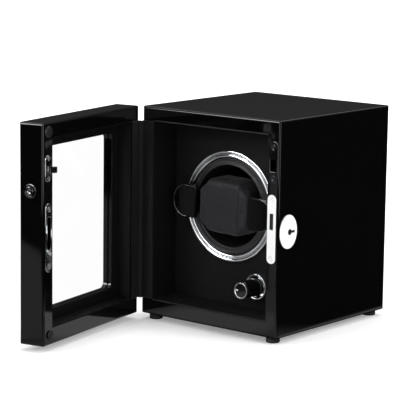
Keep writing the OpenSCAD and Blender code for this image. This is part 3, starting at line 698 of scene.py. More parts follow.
def make_world():
    w = bpy.data.worlds.new("studio")
    SCN.world = w
    w.use_nodes = True
    try:
        w.cycles.sampling_method = "NONE"
    except Exception:
        pass
    nt = w.node_tree
    nt.nodes.clear()
    tc = nt.nodes.new("ShaderNodeTexCoord")

    def dot(vec):
        n = nt.nodes.new("ShaderNodeVectorMath")
        n.operation = "DOT_PRODUCT"
        nt.links.new(tc.outputs["Generated"], n.inputs[0])
        n.inputs[1].default_value = vec
        return n.outputs["Value"]

    def math_(op, a, b=0.0, clamp=False):
        n = nt.nodes.new("ShaderNodeMath")
        n.operation = op
        n.use_clamp = clamp
        for i, v in enumerate((a, b)):
            if isinstance(v, (int, float)):
                n.inputs[i].default_value = v
            else:
                nt.links.new(v, n.inputs[i])
        return n.outputs[0]

    def smooth(v, lo, hi):
        n = nt.nodes.new("ShaderNodeMapRange")
        n.interpolation_type = "SMOOTHSTEP"
        for k, x in zip(("From Min", "From Max", "To Min", "To Max"), (lo, hi, 0.0, 1.0)):
            n.inputs[k].default_value = x
        nt.links.new(v, n.inputs["Value"])
        return n.outputs["Result"]

    def panel(az, el, half_w, half_h, soft, strength):
        """A soft rectangular light panel, by direction: azimuth from +X, elevation and half sizes in degrees."""
        a, e = math.radians(az), math.radians(el)
        d = Vector((math.cos(a) * math.cos(e), math.sin(a) * math.cos(e), math.sin(e)))
        r = Vector((-math.sin(a), math.cos(a), 0))
        u = d.cross(r) * -1
        dd = math_("MAXIMUM", dot(d), 0.02)
        x = math_("ABSOLUTE", math_("DIVIDE", dot(r), dd))
        y = math_("ABSOLUTE", math_("DIVIDE", dot(u), dd))
        hw, hh, s = math.tan(math.radians(half_w)), math.tan(math.radians(half_h)), math.tan(math.radians(soft))
        mx = smooth(x, hw + s, hw)
        my = smooth(y, hh + s, hh)
        inside = math_("MULTIPLY", mx, my)
        front = math_("GREATER_THAN", dot(d), 0.03)
        return math_("MULTIPLY", math_("MULTIPLY", inside, front), strength)

    z = dot((0, 0, 1))
    base = math_("ADD", math_("MULTIPLY", smooth(z, -0.1, 0.9), 0.10), 0.008)
    base = math_("ADD", base, math_("MULTIPLY", smooth(z, 0.02, 0.16), 0.034))
    total = base
    for p in PANELS:
        total = math_("ADD", total, panel(*p))
    glossy = nt.nodes.new("ShaderNodeBackground")
    glossy.inputs["Color"].default_value = (1, 1, 1, 1)
    nt.links.new(total, glossy.inputs["Strength"])
    white = nt.nodes.new("ShaderNodeBackground")
    white.inputs["Color"].default_value = (1, 1, 1, 1)
    lp = nt.nodes.new("ShaderNodeLightPath")
    # the backdrop is white; as a light it is dimmer, so that the soft boxes shape the object
    nt.links.new(math_("SUBTRACT", 1.05, math_("MULTIPLY", lp.outputs["Is Diffuse Ray"], 0.62)), white.inputs["Strength"])
    mix = nt.nodes.new("ShaderNodeMixShader")
    seen = math_("MULTIPLY", math_("GREATER_THAN", lp.outputs["Glossy Depth"], 0.5), math_("SUBTRACT", 1.0, lp.outputs["Is Diffuse Ray"]))
    nt.links.new(seen, mix.inputs[0])
    nt.links.new(white.outputs[0], mix.inputs[1])
    nt.links.new(glossy.outputs[0], mix.inputs[2])
    out = nt.nodes.new("ShaderNodeOutputWorld")
    nt.links.new(mix.outputs[0], out.inputs["Surface"])


# azimuth from +X, elevation, half width, half height, softness (degrees), strength
PANELS = [
    (-18, 8, 9, 34, 6, 1.9),       # tall strip to the camera's right
    (-76, 12, 8, 38, 5, 2.4),      # tall strip just left of the camera
    (-104, 40, 14, 18, 7, 3.4),    # soft panel in front, high
    (60, 55, 22, 16, 8, 1.4),      # panel at the back right, high
    (178, 42, 14, 16, 8, 1.0),
]


def area(name, loc, target, size_x, size_y, power, glossy=True):
    l = bpy.data.lights.new(name, "AREA")
    l.shape = "RECTANGLE"
    l.size, l.size_y = size_x, size_y
    l.energy = power
    o = link(bpy.data.objects.new(name, l))
    o.location = loc
    o.rotation_mode = "QUATERNION"
    o.rotation_quaternion = (Vector(target) - Vector(loc)).to_track_quat("-Z", "Y")
    o.visible_camera = False
    o.visible_glossy = glossy
    return o


make_floor()
make_world()
area("soft_top", (-0.1, 0.2, 1.5), (0, 0.0, 0.1), 1.1, 0.9, 14, glossy=False)
area("soft_left", (-0.95, -1.55, 0.85), (0, -0.1, 0.1), 0.7, 0.9, 15)
area("soft_right", (1.2, 0.1, 0.7), (0.07, 0.0, 0.1), 0.5, 0.9, 9, glossy=False)
SCN.view_settings.view_transform = "Standard"
SCN.view_settings.look = "None"
SCN.view_settings.exposure = 0.0
SCN.view_settings.gamma = 1.0


# ------------------------------------------------------------------ bright ring and turning cup
def make_ring():
    # one turned profile: sleeve, flat, short outer wall with a rolled outer bead, groove, inner bead
    def arc(cr, cy, r, a0, a1, n=9):
        return [(cr + r * math.cos(math.radians(a0 + (a1 - a0) * k / n)), cy - r * math.sin(math.radians(a0 + (a1 - a0) * k / n))) for k in range(n + 1)]

    prof = [(39.2, -40.6), (39.82, -40.6), (39.82, PY), (45.4, PY)]
    prof += [(45.4, -45.0)]
    prof += arc(43.9, -46.0, 1.5, 8, 172, 16)            # outer bead
    prof += [(42.36, -45.8), (42.14, -45.8)]             # groove
    prof += arc(40.65, -46.0, 1.45, 10, 180, 16)         # inner bead
    prof += [(39.2, -45.4)]
    o = lathe("ring_bezel_turned", prof, 0, AZ, 256, angle=40)
    piece(o, CHROME, "cabinet", "chrome", "ring_bezel")


def make_cup():
    prof = [(33.2, 0.0), (35.4, 0.0), (35.4, -45.0), (38.6, -45.0), (38.8, -45.2)]
    prof += [(38.8, -46.3), (38.75, -46.55), (38.55, -46.75), (38.25, -46.8), (37.9, -46.75), (37.65, -46.55), (37.5, -46.4)]
    prof += [(36.9, -46.38), (36.7, -46.3), (36.4, -46.3), (36.2, -46.38), (35.0, -46.42), (34.65, -46.55)]
    prof += [(34.5, -46.8), (34.2, -47.02), (33.9, -47.08), (33.6, -47.02), (33.33, -46.8), (33.2, -46.45)]
    # shallow ribs down the barrel's inside
    y = -43.0
    while y < -3.0:
        prof += [(33.2, y), (33.32, y + 0.25), (33.32, y + 0.75), (33.2, y + 1.0)]
        y += 4.0
    o = lathe("turning_cup", prof, 0, AZ, 256, angle=40)
    piece(o, CUP_PLASTIC, "turntable", "black_plastic", "cup")


# ------------------------------------------------------------------ watch holder: frame, ears, arms
def make_holder():
    parts = []
    # back plate with a raised rim
    prof = fillet([(0, -12.3), (31, -12.3), (31, -15.3), (28.6, -15.3), (28.2, -14.9), (0, -14.9)], [0, 0.4, 0.7, 0.3, 0.3, 0], 4)
    parts.append(lathe("hp", prof, 0, AZ, 128, to=turned))
    # square socket
    outer = rrect(-11, 11, AZ - 11, AZ + 11, 1.2)
    inner = rrect(-8.3, 8.3, AZ - 8.3, AZ + 8.3, 0.4)
    sock = plate("hs", outer, [inner], -12.6, -0.7, lambda u, v, w: (u, w, v), 0.3)
    for v in sock.data.vertices:
        v.co = turned(v.co)
    parts.append(sock)
    for s in (-1, 1):
        # arm: a block with rounded edges
        parts.append(soft_box("ha", *sorted((s * 26.75, s * 29.75)), -57.0, -14.2, AZ - 9, AZ + 9, 0.9, 4, to=turned))
        # ear: straight inner side, half-round outer end, well rounded rim
        pts = []
        n = 40
        for k in range(n + 1):
            a = -math.pi / 2 + math.pi * k / n
            pts.append((26.75 + 10.2 + 13.4 * math.cos(a), AZ + 13.4 * math.sin(a)))
        flat = [(26.75, AZ + 13.4), (26.75, AZ - 13.4)]
        loop = fillet(flat[1:] + pts[:1] + pts[1:-1] + pts[-1:] + flat[:1], [2.2] + [0] * (n + 1) + [2.2], 6)
        if s < 0:
            loop = [(-u, v) for u, v in reversed(loop)]
        ear = plate("he", loop, [], -57.5, -54.5, lambda u, v, w: (u, w, v), 0.55, 5, back_bev=1.25)
        for v in ear.data.vertices:
            v.co = turned(v.co)
        parts.append(ear)
        # polished rim line let into the rounded edge of the ear
        area2 = sum(p[0] * q[1] - q[0] * p[1] for p, q in zip(loop, loop[1:] + loop[:1]))
        rim = inset(loop, math.copysign(0.42, area2))
        rim = sorted((p for p in rim if abs(p[0]) > 34.0), key=lambda p: math.atan2(p[1] - AZ, abs(p[0]) - 34.0))
        pts = [tuple(turned(Vector((u * MM, -57.16 * MM, v * MM))) / MM) for u, v in rim]
        w = tube("ear_rim_" + ("right" if s > 0 else "left"), pts, 0.3, sides=8)
        piece(w, EAR_RIM, "holder", "satin_plastic")
        # spigot into the cushion
        parts.append(soft_box("hg", *sorted((s * 14.4, s * 27.4)), -45.8, -34.2, AZ - 6.8, AZ + 6.8, 0.8, 3, to=turned))
    o = join("holder_moulding", parts)
    piece(o, EAR_PLASTIC, "holder", "satin_plastic", "holder_frame")


# ------------------------------------------------------------------ watch cushion: stuffed leatherette over a foam core
OCT = [(15.5, -22.3), (26.0, -12.5), (26.0, 12.5), (15.5, 22.3), (-15.5, 22.3), (-26.0, 12.5), (-26.0, -12.5), (-15.5, -22.3)]


def cushion_seed(shrink):
    bm = bmesh.new()
    prof = [(-28.0, 2.2), (-29.2, 0.6), (-31.5, 0.0), (-41.0, 0.0), (-54.2, 0.0), (-55.8, 0.4), (-56.5, 1.3), (-56.7, 2.6)]
    base = fillet([(u, v) for u, v in OCT], 1.7, 4)
    rings = []
    for y, d in prof:
        rings.append([bm.verts.new((u * MM, y * MM, (AZ + v) * MM)) for u, v in inset(base, d + shrink)])
    for a, b in zip(rings, rings[1:]):
        for k in range(len(a)):
            bm.faces.new((a[k], a[(k + 1) % len(a)], b[(k + 1) % len(a)], b[k]))
    bm.faces.new(rings[0])
    bm.faces.new(list(reversed(rings[-1])))
    return finish_mesh("watch_cushion", bm, 180)


def make_cushion():
    o = cushion_seed(0.35)
    r = o.modifiers.new("remesh", "REMESH")
    r.mode = "VOXEL"
    r.voxel_size = 0.00125
    bake(o)
    rest = np.array([v.co for v in o.data.vertices], float)
    # the filling presses the cover out, in a model ten times its size for a stable cloth
    k = 10.0
    c0 = np.array([0.0, -0.0415, AZ * MM])
    for v, p in zip(o.data.vertices, rest):
        v.co = Vector((p - c0) * k)
    c = o.modifiers.new("cloth", "CLOTH")
    c.settings.quality = 6
    c.settings.mass = 0.3
    c.settings.use_pressure = True
    c.settings.uniform_pressure_force = 3.2
    c.settings.tension_stiffness = 18
    c.settings.compression_stiffness = 12
    c.settings.shear_stiffness = 8
    c.settings.bending_stiffness = 1.2
    c.settings.effector_weights.gravity = 0
    c.collision_settings.use_collision = False
    c.point_cache.frame_start, c.point_cache.frame_end = 1, 20
    for f in range(1, 21):
        SCN.frame_set(f)
    dg = bpy.context.evaluated_depsgraph_get()
    ev = o.evaluated_get(dg).to_mesh()
    swollen = np.array([v.co for v in ev.vertices], float) / k + c0
    o.evaluated_get(dg).to_mesh_clear()
    o.modifiers.clear()
    SCN.frame_set(1)
    move = swollen - rest
    length = np.linalg.norm(move, axis=1, keepdims=True)
    cap = 1.0 * MM
    move = move * np.minimum(1.0, cap / np.maximum(length, 1e-9))
    final = rest + move
    # it stays in the room that the holder leaves it
    for v, p in zip(o.data.vertices, final):
        x, y, z = p[0] / MM, p[1] / MM, p[2] / MM - AZ
        x = max(-26.6, min(26.6, x))
        z = max(-23.0, min(23.0, z))
        y = max(-57.4, min(-26.2, y))
        v.co = Vector((x * MM, y * MM, (z + AZ) * MM))
    s = o.modifiers.new("smooth", "SMOOTH")
    s.factor, s.iterations = 0.5, 2
    sub = o.modifiers.new("sub", "SUBSURF")
    sub.levels = sub.render_levels = 1
    bake(o)
    # creases running off the ears, and facets at the front corners
    for v in o.data.vertices:
        x, y, z = v.co.x / MM, v.co.y / MM, v.co.z / MM - AZ
        if y < -30:
            side = max(0.0, (abs(x) - 15.0) / 11.0)
            w = math.sin(z * 0.9 + noise.noise(Vector((x * 0.12, y * 0.1, z * 0.15))) * 4.0)
            v.co.y += 0.10 * side * w * MM
        if y < -42:
            # the front has a flat middle and falls away to both sides
            v.co.y += 0.07 * max(0.0, abs(x) - 15.0) * min(1.0, (-42.0 - y) / 9.0) * MM
        f = noise.noise(Vector((x * 0.11 + 3, y * 0.11, z * 0.11))) * 0.2
        n = v.normal
        v.co += n * f * MM
        v.co = turned(v.co)
    o.data.shade_smooth()
    piece(o, CUSHION, "holder", "cushion", "holder_pad")
    # welted seams over the front, top and bottom
    o.data.update()
    from mathutils.bvhtree import BVHTree
    dg = bpy.context.evaluated_depsgraph_get()
    tree = BVHTree.FromObject(o, dg)

    def on_skin(p, toward, lift):
        p, toward = Vector(p) * MM, Vector(toward).normalized()
        hit = tree.ray_cast(turned(p) - toward * 0.03, toward, 0.08)
        q = hit[0] if hit[0] is not None else turned(p)
        return (q - toward * lift * MM) / MM

    # two sewn seams beside the flat middle of the front, running over the top and bottom edges
    for name, u in (("cushion_seam_left", -16.2), ("cushion_seam_right", 16.2)):
        pts = []
        for k in range(46):
            v = -20.6 + 41.2 * k / 45
            pts.append(on_skin((u, -60, AZ + v), (0, 1, 0), -0.02))
        for sgn, end in ((-1, 0), (1, -1)):
            extra = []
            for k in range(1, 12):
                y = -54.5 + 24.0 * k / 11
                extra.append(on_skin((u, y, AZ), (0, 0, -sgn), -0.02))
            pts = (extra[::-1] + pts) if end == 0 else (pts + extra)
        w = tube(name, smooth_path(pts), 0.3, sides=8)
        piece(w, PIPING, "holder", "cushion")


def smooth_path(pts):
    pts = [Vector(p) for p in pts]
    for _ in range(3):
        pts = [pts[0]] + [(pts[i - 1] + pts[i] * 2 + pts[i + 1]) / 4 for i in range(1, len(pts) - 1)] + [pts[-1]]
    return pts


# ------------------------------------------------------------------ mode knob
def make_knob():
    y0 = PY
    bez = fillet([(6.1, y0), (11, y0), (11, y0 - 0.9), (10.3, y0 - 2.0), (9.4, y0 - 2.0), (7.6, y0 - 0.9), (6.1, y0 - 0.9)],
                 [0, 0, 0.3, 0.45, 0.3, 0.4, 0], 4)
    o = lathe("knob_base", bez, KX, KZ, 128, angle=45)
    piece(o, CHROME, "cabinet", "chrome", "knob_bezel")
    prof = fillet([(3.0, y0 - 2.3), (7.7, y0 - 2.3), (7.7, y0 - 4.2), (7.35, y0 - 5.2), (6.62, y0 - 18.9), (5.5, y0 - 18.9), (5.5, y0 - 20.4), (0, y0 - 20.4), (0, y0 - 17.5), (3.0, y0 - 17.5)],
                  [0, 0.35, 0.5, 1.2, 0.25, 0, 0.2, 0, 0, 0], 4)
    o = lathe("mode_knob", prof, KX, KZ, 144, angle=40)
    # the cap is very slightly dished
    for v in o.data.vertices:
        r = math.hypot(v.co.x / MM - KX, v.co.z / MM - KZ)
        if v.co.y < (y0 - 20.3) * MM and r < 5.4:
            v.co.y += 0.25 * MM * (1 - (r / 5.4) ** 2)
    piece(o, KNOB_PLASTIC, "mode_knob", "knob_plastic", "knob")
    ring = fillet([(5.5, y0 - 18.9), (6.62, y0 - 18.9), (6.62, y0 - 20.3), (6.35, y0 - 20.85), (5.8, y0 - 20.85), (5.5, y0 - 20.4)],
                  [0, 0.1, 0.35, 0.25, 0.2, 0.1], 5)
    o = lathe("knob_trim", ring, KX, KZ, 128, angle=60)
    piece(o, CHROME, "mode_knob", "chrome", "knob_ring")
    o = plate("knob_mark", rrect(KX - 5.2, KX - 2.5, KZ - 0.6, KZ + 0.6, 0.55), [], y0 - 20.75, y0 - 20.05, lambda u, v, w: (u, w, v), 0.12)
    piece(o, WHITE, "mode_knob", "white_mark", "knob_pointer")


# ------------------------------------------------------------------ bright plates and screws
def cross(cu, cv, arm, w, turn=0.0):
    """A cross-shaped recess outline, counter-clockwise."""
    pts = [(w, w), (w, arm), (-w, arm), (-w, w), (-arm, w), (-arm, -w), (-w, -w), (-w, -arm), (w, -arm), (w, -w), (arm, -w), (arm, w)]
    c, s = math.cos(turn), math.sin(turn)
    return [(cu + u * c - v * s, cv + u * s + v * c) for u, v in pts]


def screw_head(name, cu, cv, r, face, to, turn, depth=0.45, lift=0.12):
    """Countersunk head with a cross recess; face is the plate's outer face along w and the head looks to -w."""
    sgn = -1
    rim = plate(name + "a", circle(r - 0.08, 32, cu, cv), [cross(cu, cv, r * 0.58, 0.26, turn)], face - lift, face + depth, to, 0.1, 3, back_bev=0.22)
    floor_ = plate(name + "b", circle(r - 0.12, 32, cu, cv), [], face + depth - 0.02, face + depth + 0.4, to, 0.05, 1)
    return [rim, floor_]


def make_plates():
    flat = lambda u, v, w: (u, w, v)                      # plates on the cabinet's front
    dflat = lambda u, v, w: door_point(u, w, v)           # plates on the door's inner face
    sets = [
        ("lock_plate", NICKEL, "chrome", "cabinet", flat, (59.2, 67.2, 64.0, 118.0, 3.9), [rrect(61.4, 65.0, 90.6, 103.4, 0.7)],
         [(63.2, 68.2), (63.2, 113.8)], 1.9, YF - 0.7, YF + 0.5, "lock_faceplate", "lock_screws", 0.4),
        ("keeper", DARK_CHROME, "dark_chrome", "cabinet", flat, (60.1, 68.7, 126.8, 159.6, 4.2), [rrect(60.95, 66.9, 136.0, 146.0, 0.7)],
         [(64.4, 131.2), (64.4, 155.2)], 1.9, YF - 0.7, YF + 0.5, "keeper_plate", "keeper_screws", 1.1),
        ("strike", CHROME, "chrome", "door", dflat, (129.3, 137.9, 62.0, 114.8, 4.2), [rrect(131.2, 135.6, 79.0, 104.0, 0.7)],
         [(133.6, 66.5), (133.6, 110.3)], 1.9, -0.7, 0.5, "strike_plate", "strike_screws", 0.7),
        ("catch", CHROME, "chrome", "door", dflat, (129.6, 138.2, 131.0, 151.6, 4.2), [rrect(130.8, 135.6, 138.0, 144.0, 0.6)],
         [(133.9, 133.6), (133.9, 149.0)], 1.5, -0.7, 0.5, "catch_plate", "catch_screws", 0.2),
    ]
    for name, mat, slot, body, to, (u0, u1, v0, v1, r), holes, screws, sr, w0, w1, node, snode, turn in sets:
        if body == "door":
            # w runs into the door; the plate's outer face is at w0
            pass
        hs = list(holes) + [circle(sr + 0.06, 32, su, sv) for su, sv in screws]
        o = plate(name + "_face", rrect(u0, u1, v0, v1, r, 12), hs, w0, w1, to, 0.05, 3, back_bev=0.3)
        piece(o, mat, body, slot, node)
        heads = []
        for i, (su, sv) in enumerate(screws):
            heads += screw_head(f"{name}{i}", su, sv, sr, w0, to, turn + i * 0.6)
        s = join(name + "_screw_heads", heads)
        piece(s, mat, body, slot, snode)


def make_escutcheon():
    bm = bmesh.new()
    n = 180
    angs = sorted(set([2 * math.pi * k / n for k in range(n)] + [math.atan2(s * 1.0, d) % (2 * math.pi) for s in (-1, 1) for d in (6.4, 5.6, 4.6, 3.6, 2.6, 2.182)]))
    R, DZ = 10.6, 2.8

    def oval(a, r):
        # half width r along y and r + DZ along z
        c, s = math.cos(a), math.sin(a)
        return r * (r + DZ) / math.sqrt(((r + DZ) * c) ** 2 + (r * s) ** 2)

    def key(a, grow=0.0):
        c, s = math.cos(a), math.sin(a)
        r = 2.4 + grow
        if c > 0:
            lim = (1.0 + grow) / abs(s) if abs(s) > 1e-9 else 99
            end = (6.4 + grow) / c
            r = max(r, min(lim, end))
        return r

    prof = [  # share of the way from rim to keyhole by distance, height above the board
        ("o", 0.0, 0.02), ("o", 0.0, 0.55), ("o", 0.12, 0.85), ("o", 0.35, 1.05), ("o", 0.75, 1.16), ("o", 1.15, 1.14), ("o", 1.35, 1.02),
        ("o", 1.6, 1.05), ("o", 2.1, 1.32), ("o", 3.0, 1.62), ("o", 4.2, 1.86), ("m", 0.35, 1.98), ("m", 0.7, 2.06),
        ("k", 0.35, 2.08), ("k", 0.12, 2.03), ("k", 0.0, 1.88), ("k", 0.0, -1.2)]
    rings = []
    for kind, d, h in prof:
        ring = []
        for a in angs:
            if kind == "o":
                r = oval(a, R - d)
                r = max(r, key(a, 0.5))
            elif kind == "m":
                r = oval(a, R - 4.2) * (1 - d) + key(a, 0.4) * d
                r = max(r, key(a, 0.42))
            else:
                r = key(a, d)
            ring.append(bm.verts.new(((70 + h) * MM, (LOCK_Y + r * math.cos(a)) * MM, (LOCK_Z + r * math.sin(a)) * MM)))
        rings.append(ring)
    for a, b in zip(rings, rings[1:]):
        for k in range(len(a)):
            bm.faces.new((a[k], a[(k + 1) % len(a)], b[(k + 1) % len(a)], b[k]))
    o = finish_mesh("escutcheon_domed", bm, 38)
    piece(o, NICKEL, "cabinet", "chrome", "lock_escutcheon")
    # a near-black plug fills the keyhole nearly flush with the escutcheon: painted shade standing in for the keyhole's
    # dark inside
    core = fillet([(0.0, 0.0), (2.36, 0.0), (2.36, 1.0), (0.0, 1.0)], [0, 0.2, 0, 0], 3)
    w = lathe("keyhole_shade_plug", core, 0, 0, 48, angle=40)
    for v in w.data.vertices:
        a_, h_, b_ = v.co.x / MM, v.co.y / MM, v.co.z / MM
        v.co = Vector((71.95 - h_, LOCK_Y + a_, LOCK_Z + b_)) * MM
    tail = soft_box("keyhole_shade_slot", 70.2, 71.85, LOCK_Y + 1.6, LOCK_Y + 6.2, LOCK_Z - 0.92, LOCK_Z + 0.92, 0.15, 2)
    w = join("keyhole_shade_plug", [w, tail])
    bm = bmesh.new()
    bm.from_mesh(w.data)
    bmesh.ops.recalc_face_normals(bm, faces=bm.faces)
    bm.to_mesh(w.data)
    bm.free()
    piece(w, KEYHOLE_SHADE, "cabinet", "satin_plastic")


def make_button():
    # bezel, dished button, bar of the spring and the coil itself, drawn along the door's a axis
    def along_a(prof, name, n=96, angle=40):
        o = lathe(name, prof, 0, 0, n, angle=angle)
        for v in o.data.vertices:
            u, a, w = v.co.x / MM, v.co.y / MM, v.co.z / MM
            v.co = Vector(door_point(a, 12 + u, 124 + w)) * MM
        bm = bmesh.new()
        bm.from_mesh(o.data)
        bmesh.ops.recalc_face_normals(bm, faces=bm.faces)
        bm.to_mesh(o.data)
        bm.free()
        return o

    o = along_a(fillet([(3.7, 139.0), (5.5, 139.0), (5.5, 140.45), (5.0, 140.8), (4.0, 140.8), (3.7, 140.5)], [0, 0, 0.3, 0.25, 0.2, 0.1], 4), "button_rim")
    piece(o, MID_CHROME, "door", "chrome", "button_bezel")
    prof = [(0, 133.8), (1.5, 133.8), (1.5, 136.5), (3.4, 136.5), (3.4, 141.2), (3.3, 141.42), (3.05, 141.5)]
    prof += [(2.5, 141.52)] + [(r, 145.4 - math.sqrt(4.4 * 4.4 - r * r)) for r in (2.1, 1.6, 1.0, 0.5, 0.0)]
    o = along_a(prof, "door_button")
    piece(o, MID_CHROME, "button", "dark_chrome", "push_button")
    # return spring
    pts = []
    turns, a0, a1, r = 4.5, 129.35, 132.05, 1.6
    n = 150
    for k in range(n + 1):
        t = k / n
        e = min(1.0, max(0.0, (t - 0.12) / 0.76))
        ang = 2 * math.pi * turns * t
        pts.append(door_point(a0 + (a1 - a0) * e, 12 + r * math.cos(ang), 124 + r * math.sin(ang)))
    s = tube("return_spring", pts, 0.14, sides=8)
    piece(s, STEEL, "door", "steel", "button_spring")
    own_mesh(s)


# ------------------------------------------------------------------ leatherette strip over the hinge
def make_hinge_cover():
    path = []
    for k in range(13):
        path.append((12.75 - (12.75 - 2.9) * k / 12, 0.775))
    n = 22
    for k in range(n + 1):
        a = math.radians(16.5 - 112 * k / n)
        path.append((2.95 * math.cos(a), 2.95 * math.sin(a)))
    for k in range(1, 13):
        u = 2.9 + (12.5 - 2.9) * k / 12
        path.append((COS * u - SIN * 0.775, -SIN * u - COS * 0.775))
    # keep a clean path: drop points that bunch up
    clean = [path[0]]
    for p in path[1:]:
        if math.dist(p, clean[-1]) > 0.12:
            clean.append(p)
    path = clean
    length = [0.0]
    for p, q in zip(path, path[1:]):
        length.append(length[-1] + math.dist(p, q))
    total = length[-1]
    z0, z1, rows = 18.15, 163.85, 96
    half = 0.36
    bm = bmesh.new()
    sides = []
    for s in (1, -1):
        grid = []
        for j in range(rows + 1):
            z = z0 + (z1 - z0) * j / rows
            row = []
            for i, p in enumerate(path):
                a, b = Vector(path[max(i - 1, 0)]), Vector(path[min(i + 1, len(path) - 1)])
                t = (b - a).normalized()
                nrm = Vector((-t.y, t.x))           # towards the outside of the bend
                share = length[i] / total
                edge = min(share, 1 - share) * total
                endz = min(z - z0, z1 - z)
                h = half * min(1.0, 0.35 + edge / 0.9) * min(1.0, 0.4 + endz / 0.9)
                # soft ripples where the strip bends, stronger near its ends
                mid = math.exp(-((share - 0.5) / 0.2) ** 2)
                rip = noise.noise(Vector((share * 5.0, z * 0.11, 1.7))) * 0.2 + math.sin(z * 0.55 + 3 * share) * 0.05
                rip *= mid * (0.35 + 0.65 * math.exp(-endz / 12.0))
                puff = 0.10 * mid
                q = Vector(p) + nrm * (s * h) - nrm * (rip + puff)
                row.append(bm.verts.new(((HX + q.x) * MM, (HY + q.y) * MM, z * MM)))
            grid.append(row)
        sides.append(grid)
        for j in range(rows):
            for i in range(len(path) - 1):
                bm.faces.new((grid[j][i], grid[j][i + 1], grid[j + 1][i + 1], grid[j + 1][i]))
    a, b = sides
    m = len(path) - 1
    for j in range(rows):
        bm.faces.new((a[j][0], a[j + 1][0], b[j + 1][0], b[j][0]))
        bm.faces.new((a[j][m], b[j][m], b[j + 1][m], a[j + 1][m]))
    for i in range(m):
        bm.faces.new((a[0][i], b[0][i], b[0][i + 1], a[0][i + 1]))
        bm.faces.new((a[rows][i], a[rows][i + 1], b[rows][i + 1], b[rows][i]))
    o = finish_mesh("hinge_strip", bm, 60)
    piece(o, STRIP, None, "leatherette", "hinge_cover")
    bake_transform(o)
    print("STRIP flat", round(total, 2), "x", round(z1 - z0, 2))
    # turned hems along its top and bottom edges, as thin welts that bend with it
    for name, z in (("strip_hem_top", z1 - 0.25), ("strip_hem_bottom", z0 + 0.25)):
        pts = []
        for i, p in enumerate(path):
            a_, b_ = Vector(path[max(i - 1, 0)]), Vector(path[min(i + 1, len(path) - 1)])
            t = (b_ - a_).normalized()
            nrm = Vector((t.y, -t.x))
            q = Vector(p) + nrm * 0.12
            wob = 0.12 * math.sin(length[i] * 1.9) * math.exp(-((length[i] / total - 0.5) / 0.3) ** 2)
            pts.append((HX + q.x, HY + q.y, z + wob))
        h = tube(name, pts, 0.42, sides=10)
        piece(h, PIPING, None, "leatherette")
        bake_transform(h)



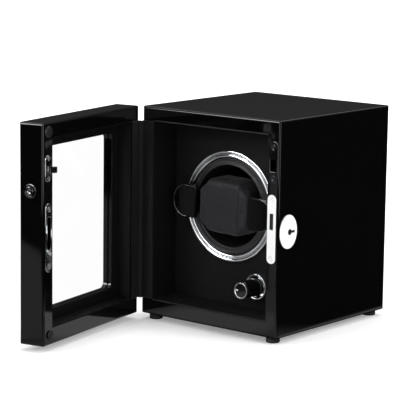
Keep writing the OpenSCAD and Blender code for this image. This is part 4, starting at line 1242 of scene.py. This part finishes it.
# ------------------------------------------------------------------ linings: wrapped boards with a rolled front edge, and piping
def make_linings():
    def board(name, x0, x1, y0, y1, z0, z1, axis, node):
        """A thin wrapped board; axis is the one across its thickness."""
        bm = bmesh.new()
        bmesh.ops.create_cube(bm, size=1.0)
        for v in bm.verts:
            v.co = Vector(((x0 + x1) / 2 + v.co.x * (x1 - x0), (y0 + y1) / 2 + v.co.y * (y1 - y0), (z0 + z1) / 2 + v.co.z * (z1 - z0))) * MM
        # the front edge is rolled over
        front = [e for e in bm.edges if all(v.co.y < (y0 + 0.1) * MM for v in e.verts)]
        bmesh.ops.bevel(bm, geom=front, offset=0.5 * MM, segments=4, profile=0.5, affect="EDGES")
        bmesh.ops.subdivide_edges(bm, edges=[e for e in bm.edges if (e.verts[0].co - e.verts[1].co).length > 0.02], cuts=24, use_grid_fill=True)
        o = finish_mesh(name, bm, 50)
        for v in o.data.vertices:
            c = v.co / MM
            w = noise.noise(Vector((c.x * 0.045, c.y * 0.06, c.z * 0.045)) + Vector((7.3, 0, 0))) * 0.16
            inner = {"x0": c.x > x1 - 0.05, "x1": c.x < x0 + 0.05, "z0": c.z > z1 - 0.05, "z1": c.z < z0 + 0.05}[axis]
            if inner:
                k = axis[0]
                s = 1 if axis[1] == "0" else -1
                setattr(v.co, k, getattr(v.co, k) + s * min(0.0, w - 0.05) * MM)
        piece(o, LEATHER, "cabinet", "leatherette", node)

    board("lining_left", -59.2, -58.0, -73.0, PY, 18.0, 164.0, "x0", "liner_left")
    board("lining_right", 58.0, 59.2, -73.0, PY, 18.0, 164.0, "x1", "liner_right")
    board("lining_top", -59.2, 59.2, -73.0, PY, 164.0, 165.2, "z1", "liner_top")
    board("lining_floor", -59.2, 59.2, -73.0, PY, 16.8, 18.0, "z0", "liner_floor")
    for name, z in (("piping_floor", 17.45), ("piping_top", 164.55)):
        pts = [(x, -73.05 + 0.05 * math.sin(x * 0.21), z + 0.05 * math.sin(x * 0.33)) for x in np.linspace(-57.3, 58.4, 90)]
        o = tube(name, pts, 0.5, sides=12)
        piece(o, PIPING, "cabinet", "leatherette")
    # welt in the corners where the panel meets the linings
    for name, pts in (
        ("welt_left", [(-57.75, PY - 0.25, z) for z in np.linspace(18.3, 163.7, 60)]),
        ("welt_right", [(57.75, PY - 0.25, z) for z in np.linspace(18.3, 163.7, 60)]),
        ("welt_floor", [(x, PY - 0.25, 18.25) for x in np.linspace(-57.6, 57.6, 60)]),
        ("welt_top", [(x, PY - 0.25, 163.75) for x in np.linspace(-57.6, 57.6, 60)]),
    ):
        o = tube(name, pts, 0.3, sides=8)
        piece(o, LEATHER, "cabinet", "leatherette")


# ------------------------------------------------------------------ bumpers and feet
def make_rubber_parts():
    for name, a, z, r, mat in (("bumper_upper", 134.0, 169.0, 4.5, RUBBER), ("bumper_lower", 131.7, 12.8, 3.5, RUBBER)):
        prof = [(0, 0.02), (r - 0.35, 0.02), (r - 0.05, -0.2), (r, -0.6), (r - 0.12, -1.15), (r - 0.5, -1.65), (r - 1.1, -1.95), (r - 2.0, -2.1), (0, -2.2)]
        o = lathe(name, prof, 0, 0, 64, angle=60)
        for v in o.data.vertices:
            u, t, w = v.co.x / MM, v.co.y / MM, v.co.z / MM
            v.co = Vector(door_point(a + u, t, z + w)) * MM
        bm = bmesh.new()
        bm.from_mesh(o.data)
        bmesh.ops.recalc_face_normals(bm, faces=bm.faces)
        bm.to_mesh(o.data)
        bm.free()
        piece(o, mat, "door", "rubber", *(("door_bumpers",) if name == "bumper_upper" else ()))
    for i, (x, y) in enumerate(((-60.5, -65.5), (60.5, -65.5), (-60.5, 65.5), (60.5, 65.5))):
        prof = [(3.2, 2.95), (3.2, 0.25), (3.45, 0.0), (4.7, 0.0), (5.2, 0.18), (5.5, 0.7), (5.5, 2.0), (5.3, 2.25), (5.3, 2.6), (5.5, 2.85), (5.5, 4.58), (1.6, 4.58), (1.6, 2.95)]
        o = lathe(f"foot_{i}", prof, 0, 0, 72, angle=50)
        for v in o.data.vertices:
            u, h, w = v.co.x / MM, v.co.y / MM, v.co.z / MM
            v.co = Vector((x + u, y + w, h)) * MM
        bm = bmesh.new()
        bm.from_mesh(o.data)
        bmesh.ops.recalc_face_normals(bm, faces=bm.faces)
        bm.to_mesh(o.data)
        bm.free()
        piece(o, RUBBER, "cabinet", "rubber", *(("feet",) if i == 0 else ()))


make_ring()
make_cup()
make_holder()
make_cushion()
make_knob()
make_plates()
make_escutcheon()
make_button()
make_hinge_cover()
make_linings()
make_rubber_parts()
